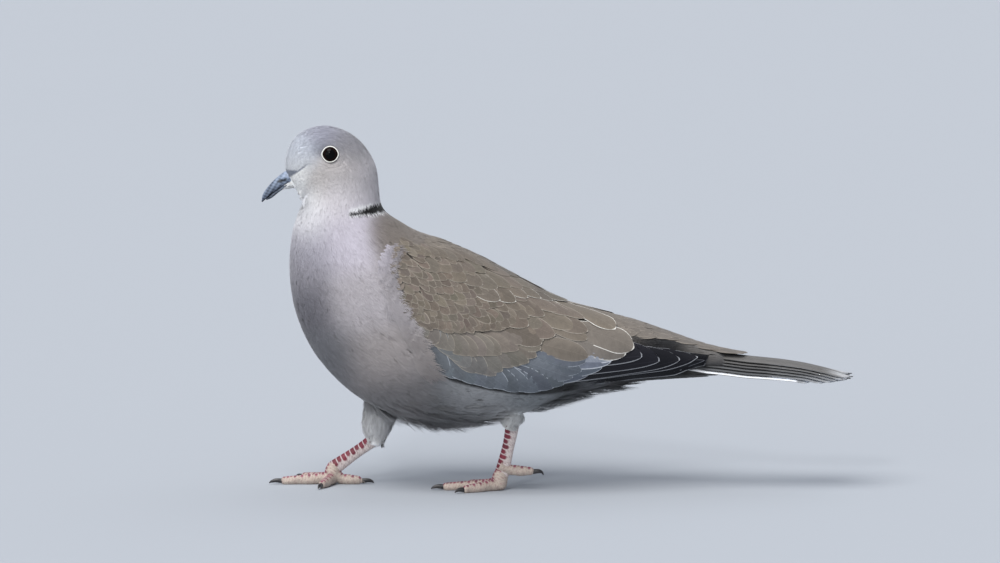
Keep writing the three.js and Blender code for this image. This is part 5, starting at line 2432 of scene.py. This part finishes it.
@dataclass
class Bill:
    """The bill, with the soft swelling over its nostrils.

    Attributes:
        upper: The upper half.
        lower: The lower half.
        keel: How round its section is: 1 is an ellipse and less is fuller.
        nostril: The nostril's X and Z, in millimetres.
        slate: The horn's dark colour.
        blue: The colour near the nostril's swelling, also used for the painted sheen along the bill's top.
    """

    upper: Mandible = Mandible("bill_upper", (
        (-124.9, 150.9, -122.4, 145.3, 3.3), (-127.9, 150.0, -125.6, 144.4, 3.2),
        (-130.7, 148.0, -128.9, 142.8, 2.75), (-133.7, 145.3, -132.0, 140.7, 2.1),
        (-136.4, 142.2, -134.9, 138.9, 1.7), (-138.3, 139.2, -137.0, 136.9, 1.15),
        (-139.0, 135.9, -138.6, 135.5, 0.3)))
    lower: Mandible = Mandible("bill_lower", (
        (-124.4, 146.2, -123.6, 144.4, 2.5), (-128.2, 144.0, -127.6, 142.5, 2.2),
        (-131.4, 141.6, -130.8, 140.2, 1.7), (-134.8, 139.0, -134.2, 137.5, 1.2),
        (-136.9, 137.1, -136.6, 136.5, 0.5)))
    keel: float = 0.8
    nostril: tuple[float, float] = (-129.2, 146.0)
    slate: tuple[int, int, int] = (40, 50, 66)
    blue: tuple[int, int, int] = (150, 164, 186)

    def build(self) -> None:
        """Builds both halves."""
        horn = ScaleFinish("bill_horn", 0.36, 1100.0).make()
        for part in (self.upper, self.lower):
            rows = through(part.rows, np.linspace(0, len(part.rows) - 1, 60)) * MM
            top, bottom = rows[:, [0, 0, 1]] * [1, 0, 1], rows[:, [2, 2, 3]] * [1, 0, 1]
            half, turn = rows[:, 4], 2 * np.pi * np.arange(40) / 40
            up, out = np.cos(turn), np.sin(turn)
            up = np.sign(up) * np.abs(up) ** self.keel
            middle = (top + bottom) / 2
            grid = middle[:, None] + ((top - bottom) / 2)[:, None] * up[None, :, None]
            grid = grid + (half[:, None] * out)[..., None] * np.array([0.0, -1.0, 0.0])
            stock = Stock()
            if part is self.upper:
                x, z = grid[..., 0] / MM, grid[..., 2] / MM
                swell = np.exp(-(((x + 127.2) / 2.6) ** 2 + ((z - 147.8) / 1.5) ** 2))
                slope = (z - self.nostril[1]) - (x - self.nostril[0]) * -0.42
                slit = np.exp(-(((x - self.nostril[0]) / 1.9) ** 2 + (slope / 0.38) ** 2))
                grid[..., 1] += np.sign(grid[..., 1]) * (0.5 * swell - 0.75 * slit) * MM
            add_tube(stock, grid, self.tones(grid / MM, part))
            stock.make(part.name + "_horn", horn, "bill", part.name)

    def tones(self, place: Array, part: Mandible) -> Array:
        """Colours the horn: slate, blue grey over the nostril's swelling with a painted sheen along the top
        of each half, black in the slit.

        Args:
            place: The points, in millimetres.
            part: Which half of the bill.

        Returns:
            Their colours.
        """
        x, z = place[..., 0], place[..., 2]
        rows = np.array(part.rows)[::-1]
        top, bottom = np.interp(x, rows[:, 0], rows[:, 1]), np.interp(x, rows[:, 2], rows[:, 3])
        up = np.clip((z - bottom) / np.maximum(top - bottom, 0.3), 0, 1)
        near = 1 - ease(-x, 127.5, 135.5)
        # The blue grey near the root is the swelling's own colour; the paler blue grey along the top of each
        # half is a painted sheen.
        pale = (0.35 + 0.5 * near) * (0.35 + 0.65 * ease(up, 0.1, 0.6))
        ripple = 0.5 + 0.5 * np.sin(x * 2.1 + z * 1.3) * np.sin(z * 2.9 - x * 0.7)
        pale = np.clip(pale + 0.75 * (ripple - 0.5), 0, 1)
        tone = blend(srgb(*self.slate), srgb(*self.blue), pale[..., None])
        slope = (z - self.nostril[1]) - (x - self.nostril[0]) * 0.3
        slit = np.exp(-(((x - self.nostril[0]) / 2.3) ** 6 + (slope / 0.75) ** 6)) * (part is self.upper)
        edge = 1 - ease(up, 0.06, 0.2) if part is self.upper else ease(up, 0.85, 0.95)
        dark = np.maximum(np.maximum(0.97 * slit, 0.8 * edge), 0.55 * (part is self.lower))
        return tone * (1 - dark)[..., None]


@dataclass
class Eye:
    """One eye with its lids' pale ring, in millimetres.

    Attributes:
        side: Which eye.
        shape: The dove's forms.
        globe: The eyeball's radius.
        opening: The radius of the part that shows.
        proud: How far that part's edge stands out of the skin's plane.
        pupil: The pupil's radius.
        ring: The radius of the lids' ring.
        ring_half: Half the ring's thickness.
        dark: The pupil's colour.
        iris: The iris's colour.
        lid: The lids' colour.
        lid_inner: Their colour at the eye.
        lid_outer: Their colour at the plumage.
    """

    side: Side
    shape: Shape
    globe: float = 4.4
    opening: float = 3.35
    proud: float = 0.3
    pupil: float = 2.4
    ring: float = 3.6
    ring_half: float = 0.28
    dark: tuple[int, int, int] = (7, 7, 9)
    iris: tuple[int, int, int] = (24, 11, 10)
    lid: tuple[int, int, int] = (250, 249, 240)
    lid_inner: tuple[int, int, int] = (60, 52, 52)
    lid_outer: tuple[int, int, int] = (120, 116, 118)

    def build(self) -> None:
        """Builds the eye and its ring."""
        centre, normal = self.shape.socket(self.side)
        deep = math.sqrt(self.globe**2 - self.opening**2)
        round_way = spokes_round(normal, np.linspace(0, 2 * np.pi, 65)[:-1])
        tilt = np.linspace(0.02, np.pi - 0.02, 60)
        ahead, aside = np.cos(tilt)[:, None, None], np.sin(tilt)[:, None, None]
        grid = (ahead * normal + aside * round_way[None]) * self.globe
        grid = centre + (grid + normal * (self.proud - deep)) * MM
        off = np.sin(tilt) * self.globe
        share = ease(off, self.pupil - 0.1, self.pupil + 0.15) * (1 - 0.75 * ease(off, 2.8, 3.5))
        tone = blend(srgb(*self.dark), srgb(*self.iris), share[:, None, None])
        tone = np.where(ahead < 0, srgb(*self.dark), tone)
        stock = Stock()
        add_tube(stock, grid, np.broadcast_to(tone, grid.shape))
        stock.make(f"eyeball_{self.side.word}", EyeFinish().make(), "eye", f"eye_{self.side.word}")
        self.lids(centre, normal)

    def lids(self, centre: Array, normal: Array) -> None:
        """Builds the swollen ring of the lids, a little drawn out to the corners.

        Args:
            centre: The opening's middle.
            normal: Its outward direction.
        """
        turn = np.linspace(0, 2 * np.pi, 121)[:-1]
        round_way = spokes_round(normal, turn)
        lean = np.linspace(0, 2 * np.pi, 17)[:-1]
        corner = 0.22 * np.abs(np.cos(turn)) ** 14
        bead = 0.05 * np.cos(turn * 34)
        away = self.ring + corner[:, None] + (self.ring_half + bead[:, None]) * np.cos(lean)
        rise = self.proud - 0.12 + (self.ring_half * 0.9 + bead[:, None]) * np.sin(lean)
        grid = centre + (round_way[:, None] * away[..., None] + normal * rise[..., None]) * MM
        inner = ease(np.cos(lean), -0.2, -0.95)[None, :, None]
        outer = ease(np.cos(lean), 0.8, 1.0)[None, :, None] * 0.7
        tone = blend(srgb(*self.lid), srgb(*self.lid_inner), inner)
        tone = blend(tone, srgb(*self.lid_outer), outer)
        tone = np.broadcast_to(tone, grid.shape)
        points = grid.reshape(-1, 3)
        rows, sides = grid.shape[:2]
        ring, place = np.meshgrid(np.arange(rows), np.arange(sides), indexing="ij")
        after, next_ring = (place + 1) % sides, (ring + 1) % rows
        corners = (ring, place), (next_ring, place), (next_ring, after), (ring, after)
        quads = np.column_stack([(row * sides + column).ravel() for row, column in corners])
        here, ahead, _, across = points[quads[0]]
        if np.dot(np.cross(ahead - here, across - here), round_way[0]) < 0:
            quads = quads[:, ::-1]
        stock = Stock()
        stock.add(points, [quads], tone=tone.reshape(-1, 3))
        stock.make(f"eyelids_{self.side.word}", ScaleFinish("lid_skin", 0.55, 2600.0).make(), "eye")


@dataclass(frozen=True)
class Toe:
    """One toe, in millimetres and degrees.

    Attributes:
        name: Its name in the frame's claws.
        heading: How far it points off straight ahead.
        length: Its length without the claw.
        claw: The claw's length.
        lift: How high the toe is held.
        root: The height of its root's middle.
    """

    name: str
    heading: float
    length: float
    claw: float
    lift: float = 0.0
    root: float = 3.4


@dataclass(frozen=True)
class Leg:
    """One bare leg: the shank's middle points, the sole's middle and the toes."""

    side: Side
    shank: tuple[tuple[float, float, float], ...]
    pad: tuple[float, float, float]
    toes: tuple[Toe, ...]


@dataclass
class Legs:
    """The bare parts of both legs, with their scutes and claws.

    Attributes:
        legs: Both legs.
        scute: The scutes' colour on the shank's front.
        groove: The colour between scutes.
        side_skin: The colour of the shank's sides.
        toe_scute: The scutes' colour on the toes.
        toe_skin: The colour of the toes' sides.
    """

    legs: tuple[Leg, ...] = (
        Leg(Side.LEFT, ((-20.4, -9.2, 37), (-21.6, -8.7, 28), (-23.2, -8.2, 20), (-26.2, -7.5, 7.2)),
            (-27, -7.5, 6.2), (
            Toe("middle", 0, 27, 5.5), Toe("inner", -34, 18, 4.5), Toe("outer", 30, 20, 4.5),
            Toe("hind", 180, 16.5, 4, 7.2, 12))),
        Leg(Side.RIGHT, ((-82.5, 12.7, 24.5), (-88, 12.7, 20), (-95, 12.8, 15), (-105.2, 13, 7.8)),
            (-106, 13, 6.4), (
            Toe("middle", 3, 24.6, 5.6), Toe("inner", 72, 17, 4.5), Toe("outer", -42, 20, 4.5),
            Toe("hind", 176, 15, 4.5, 0, 6))),
    )
    scute: tuple[int, int, int] = (112, 26, 46)
    groove: tuple[int, int, int] = (214, 204, 204)
    side_skin: tuple[int, int, int] = (206, 194, 190)
    toe_scute: tuple[int, int, int] = (128, 66, 82)
    toe_skin: tuple[int, int, int] = (182, 168, 156)

    def build(self) -> None:
        """Builds both legs."""
        skin = ScaleFinish().make()
        claw = HornFinish("claw_horn", (26, 25, 28), (70, 66, 66), 0.34).make()
        for leg in self.legs:
            word = leg.side.word
            stock = Stock()
            scutes = self.ridges(2.5, 0.16, -0.05, 0.2)
            grid, run, turn = tube(
                leg.shank, (3.3, 3.0, 2.75, 3.4), (2.3, 2.05, 1.9, 2.3), ACROSS, 150, 40, scutes
            )
            add_tube(stock, grid, self.tones(run, turn, 2.5, self.scute, self.side_skin, -0.05, 0.2))
            stock.make(f"shank_skin_{word}", skin, "leg_skin", f"shank_{word}")
            foot = Stock()
            for toe in leg.toes:
                self.toe(foot, leg, toe)
                self.claw(leg, toe, claw)
            self.pad(foot, leg)
            foot.make(f"foot_skin_{word}", skin, "leg_skin", f"foot_{word}")

    @staticmethod
    def band(run: Array, pitch: float) -> Array:
        """How far a point is on a scute, 1, or in the groove between two, 0."""
        share = np.mod(run / pitch, 1.0)
        return ease(share, 0.0, 0.16) * (1 - ease(share, 0.84, 1.0))

    @staticmethod
    def scales(run: Array, turn: Array) -> Array:
        """The small scales of the sides, from -1 to 1."""
        return np.sin(run * 5.2 + np.cos(turn * 7) * 1.2) * np.sin(turn * 9 + np.sin(run * 2.6))

    def ridges(self, pitch: float, height: float, low: float, high: float) -> Callable:
        """Makes the heights of scutes on a tube's front and of small scales on its sides.

        Args:
            pitch: The length of a scute, in millimetres.
            height: How high it stands, in millimetres.
            low: The cosine of the turn where the scutes start.
            high: The one where they are full.

        Returns:
            What gives the height at a distance along and a turn.
        """
        def height_at(run: Array, turn: Array) -> Array:
            """Reads the heights.

            Args:
                run: The distances along.
                turn: The turns from the front.

            Returns:
                The added heights.
            """
            front = ease(np.cos(turn), low, high)
            lap = self.band(run + 0.35 * np.sin(turn), pitch)
            return height * lap * front + 0.05 * self.scales(run, turn) * (1 - front)
        return height_at

    def tones(
        self, run: Array, turn: Array, pitch: float, scute: tuple, skin: tuple, low: float, high: float
    ) -> Array:
        """Colours scutes, grooves and the skin of the sides.

        Args:
            run: The distances along a tube.
            turn: The turns from its front.
            pitch: The length of a scute.
            scute: The scutes' colour.
            skin: The sides' colour.
            low: The cosine of the turn where the scutes start.
            high: The one where they are full.

        Returns:
            The colours.
        """
        share = 2 * np.mod((run + 0.35 * np.sin(turn)) / pitch, 1.0) - 1
        row = np.floor(run / pitch)
        front = ease(np.cos(turn) - 0.3 * share**2 - 0.16 * np.sin(row * 2.9), low, high)[..., None]
        lap = self.band(run + 0.35 * np.sin(turn), pitch)[..., None]
        wander = (0.85 + 0.3 * np.sin(row * 2.4 + 1.0) ** 2)[..., None]
        plates = srgb(*self.groove) * (1 - lap) + srgb(*scute) * lap * wander
        sides = srgb(*skin) * (1 + 0.16 * self.scales(run, turn)[..., None])
        blotch = np.sin(run * 3.1 + 2.2 * np.sin(turn * 3)) * np.sin(turn * 6 + run)
        blotch = ease(blotch, 0.35, 0.8)[..., None] * 0.4
        sides = sides * (1 - blotch) + srgb(*scute) * blotch
        return np.clip(sides * (1 - front) + plates * front, 0, 1)

    def stations(self, leg: Leg, toe: Toe) -> tuple[Array, Array, Array]:
        """Lays out a toe.

        Args:
            leg: Its leg.
            toe: The toe.

        Returns:
            Its middle points, its radii and the direction of its side.
        """
        heading = math.radians(toe.heading)
        way = np.array([-math.cos(heading), -math.sin(heading), 0.0])
        shares = np.array([0, 0.24, 0.5, 0.8, 1.0])
        heights = np.array([toe.root, toe.lift + 2.5, toe.lift + 2.1, toe.lift + 1.75, toe.lift + 1.55])
        points = np.array(leg.pad) * [1, 1, 0] + way * (shares * toe.length)[:, None]
        points[:, 2] = heights
        return points, np.array([3.1, 2.6, 2.35, 2.05, 1.7]), np.array([way[1], -way[0], 0.0])

    def toe(self, stock: Stock, leg: Leg, toe: Toe) -> None:
        """Adds one toe.

        Args:
            stock: The foot's shapes.
            leg: Its leg.
            toe: The toe.
        """
        points, radii, side = self.stations(leg, toe)
        waves = 2 * np.pi * (2.6 if toe.name == "middle" else 2)
        joints = lambda run, turn: (
            self.ridges(1.7, 0.13, 0.5, 0.8)(run, turn)
            + 0.22 * np.sin(run / toe.length * waves) * (np.cos(turn) < 0.2)
            - 0.9 * ease(run, toe.length - 1.2, toe.length + 0.3)
        )
        points = np.vstack([points, points[-1] + (points[-1] - points[-2]) * 0.08])
        rows = int(toe.length * 4.5)
        grid, run, turn = tube(points, [*radii, 1.3], [*(radii * 0.94), 1.2], side, rows, 28, joints)
        add_tube(stock, grid, self.tones(run, turn, 1.7, self.toe_scute, self.toe_skin, 0.62, 0.86))

    def pad(self, stock: Stock, leg: Leg) -> None:
        """Adds the ball of the foot, where the toes meet the shank.

        Args:
            stock: The foot's shapes.
            leg: Its leg.
        """
        x, y, z = leg.pad
        path = ((x + 0.6, y, z + 3.4), (x, y, z), (x - 0.6, y, 2.2), (x - 0.8, y, 0.6))
        grid, run, turn = tube(path, (2.6, 3.7, 3.6, 2.4), (2.2, 3.3, 3.4, 2.4), ACROSS, 40, 32)
        add_tube(stock, grid, self.tones(run, turn, 1.7, self.toe_scute, self.toe_skin, 0.62, 0.86))

    def claw(self, leg: Leg, toe: Toe, horn: bpy.types.Material) -> None:
        """Builds one claw.

        Args:
            leg: Its leg.
            toe: Its toe.
            horn: What it is made of.
        """
        points, _, side = self.stations(leg, toe)
        end, way = points[-1], unit(points[-1] - points[-2]) * [1, 1, 0]
        path = [
            end - way * 1.0, end + way * toe.claw * 0.4 + [0, 0, 0.25],
            end + way * toe.claw * 0.8 - [0, 0, 0.25],
            end + way * toe.claw - [0, 0, 1.0 if toe.lift == 0 else 1.6],
        ]
        grid, _, _ = tube(path, (1.2, 1.0, 0.62, 0.14), (1.0, 0.78, 0.45, 0.12), side, 24, 20)
        stock = Stock()
        add_tube(stock, grid, np.zeros(grid.shape))
        name = f"claw_{toe.name}_{leg.side.word}"
        stock.make(name + "_horn", horn, "claw", name)


# ---------------------------------------------------------------- the studio


@dataclass(frozen=True)
class Lamp:
    """A wide, even soft light from far off that looks at the bird.

    Attributes:
        name: Its name.
        place: Where it hangs, in metres.
        spread: How wide it looks from the bird, in degrees.
        power: Its strength in watts to a square metre.
        colour: Its colour.
    """

    name: str
    place: tuple[float, float, float]
    spread: float
    power: float
    colour: tuple[float, float, float] = (1.0, 1.0, 1.0)

    def build(self, target: Vector) -> None:
        """Hangs the light.

        Args:
            target: The point it looks at.
        """
        light = bpy.data.lights.new(self.name, "SUN")
        light.energy, light.angle, light.color = self.power, math.radians(self.spread), self.colour
        holder = bpy.data.objects.new(self.name, light)
        holder.location = self.place
        holder.rotation_euler = (target - holder.location).to_track_quat("-Z", "Y").to_euler()
        bpy.context.scene.collection.objects.link(holder)


@dataclass
class Studio:
    """The floor, the soft lights and the camera.

    Attributes:
        floor_half: Half the floor's width, in metres.
        distance: From the camera to the point it looks at, in metres.
        rise: How far it stands above the level, in degrees.
        aim: The point it looks at.
        seen_width: The width it sees there, in metres.
        sensor: Its sensor's width, in millimetres.
        lit: The point the lights look at.
        sky: The sky's colour.
        sky_strength: How bright the sky is.
        lamps: The lights.
    """

    floor_half: float = 7.0
    distance: float = 4.0
    rise: float = 7.0
    aim: tuple[float, float, float] = (-0.027, 0.0, 0.09797)
    seen_width: float = 0.470
    sensor: float = 36.0
    lit: tuple[float, float, float] = (0.0, 0.0, 0.08)
    sky: tuple[float, float, float] = (0.86, 0.90, 1.0)
    sky_strength: float = 0.5
    lamps: tuple[Lamp, ...] = (
        Lamp("key_light", (-1.0, -1.5, 3.2), 40.0, 2.5, (1.0, 0.985, 0.96)),
        Lamp("front_light", (-0.9, -3.0, 1.9), 7.0, 0.55),
        Lamp("fill_light", (-2.4, -2.8, 0.2), 50.0, 0.85),
        Lamp("rim_light", (1.3, 1.6, 2.8), 60.0, 0.55, (0.95, 0.98, 1.0)),
    )

    def build(self) -> None:
        """Builds the studio."""
        mesh = bpy.data.meshes.new("studio_floor")
        shape = bmesh.new()
        bmesh.ops.create_grid(shape, x_segments=8, y_segments=8, size=self.floor_half)
        shape.to_mesh(mesh)
        shape.free()
        floor = bpy.data.objects.new("studio_floor", mesh)
        mesh.materials.append(FloorFinish().make())
        bpy.context.scene.collection.objects.link(floor)
        lens = bpy.data.cameras.new("camera")
        lens.sensor_width = self.sensor
        lens.lens = lens.sensor_width * self.distance / self.seen_width
        camera = bpy.data.objects.new("camera", lens)
        tilt = math.radians(self.rise)
        away = Vector((0, -math.cos(tilt), math.sin(tilt))) * self.distance
        camera.location = Vector(self.aim) + away
        camera.rotation_euler = (math.pi / 2 - tilt, 0, 0)
        bpy.context.scene.collection.objects.link(camera)
        bpy.context.scene.camera = camera
        for lamp in self.lamps:
            lamp.build(Vector(self.lit))
        world = bpy.data.worlds.new("sky")
        world.use_nodes = True
        back = world.node_tree.nodes["Background"]
        back.inputs["Color"].default_value = (*self.sky, 1.0)
        back.inputs["Strength"].default_value = self.sky_strength
        bpy.context.scene.world = world
        bpy.context.scene.view_settings.view_transform = "Standard"


def main() -> None:
    """Builds the bird and the studio."""
    logging.basicConfig(level=logging.INFO, format="%(message)s")
    shape, marks = Shape(), Markings()
    Skin(shape, marks).build()
    Coat(shape, marks).build()
    Wings(shape).build()
    Mantle(shape).build()
    Tail().build()
    Bill().build()
    for side in Side:
        Eye(side, shape).build()
    Legs().build()
    Studio().build()


if __name__ == "__main__":
    main()
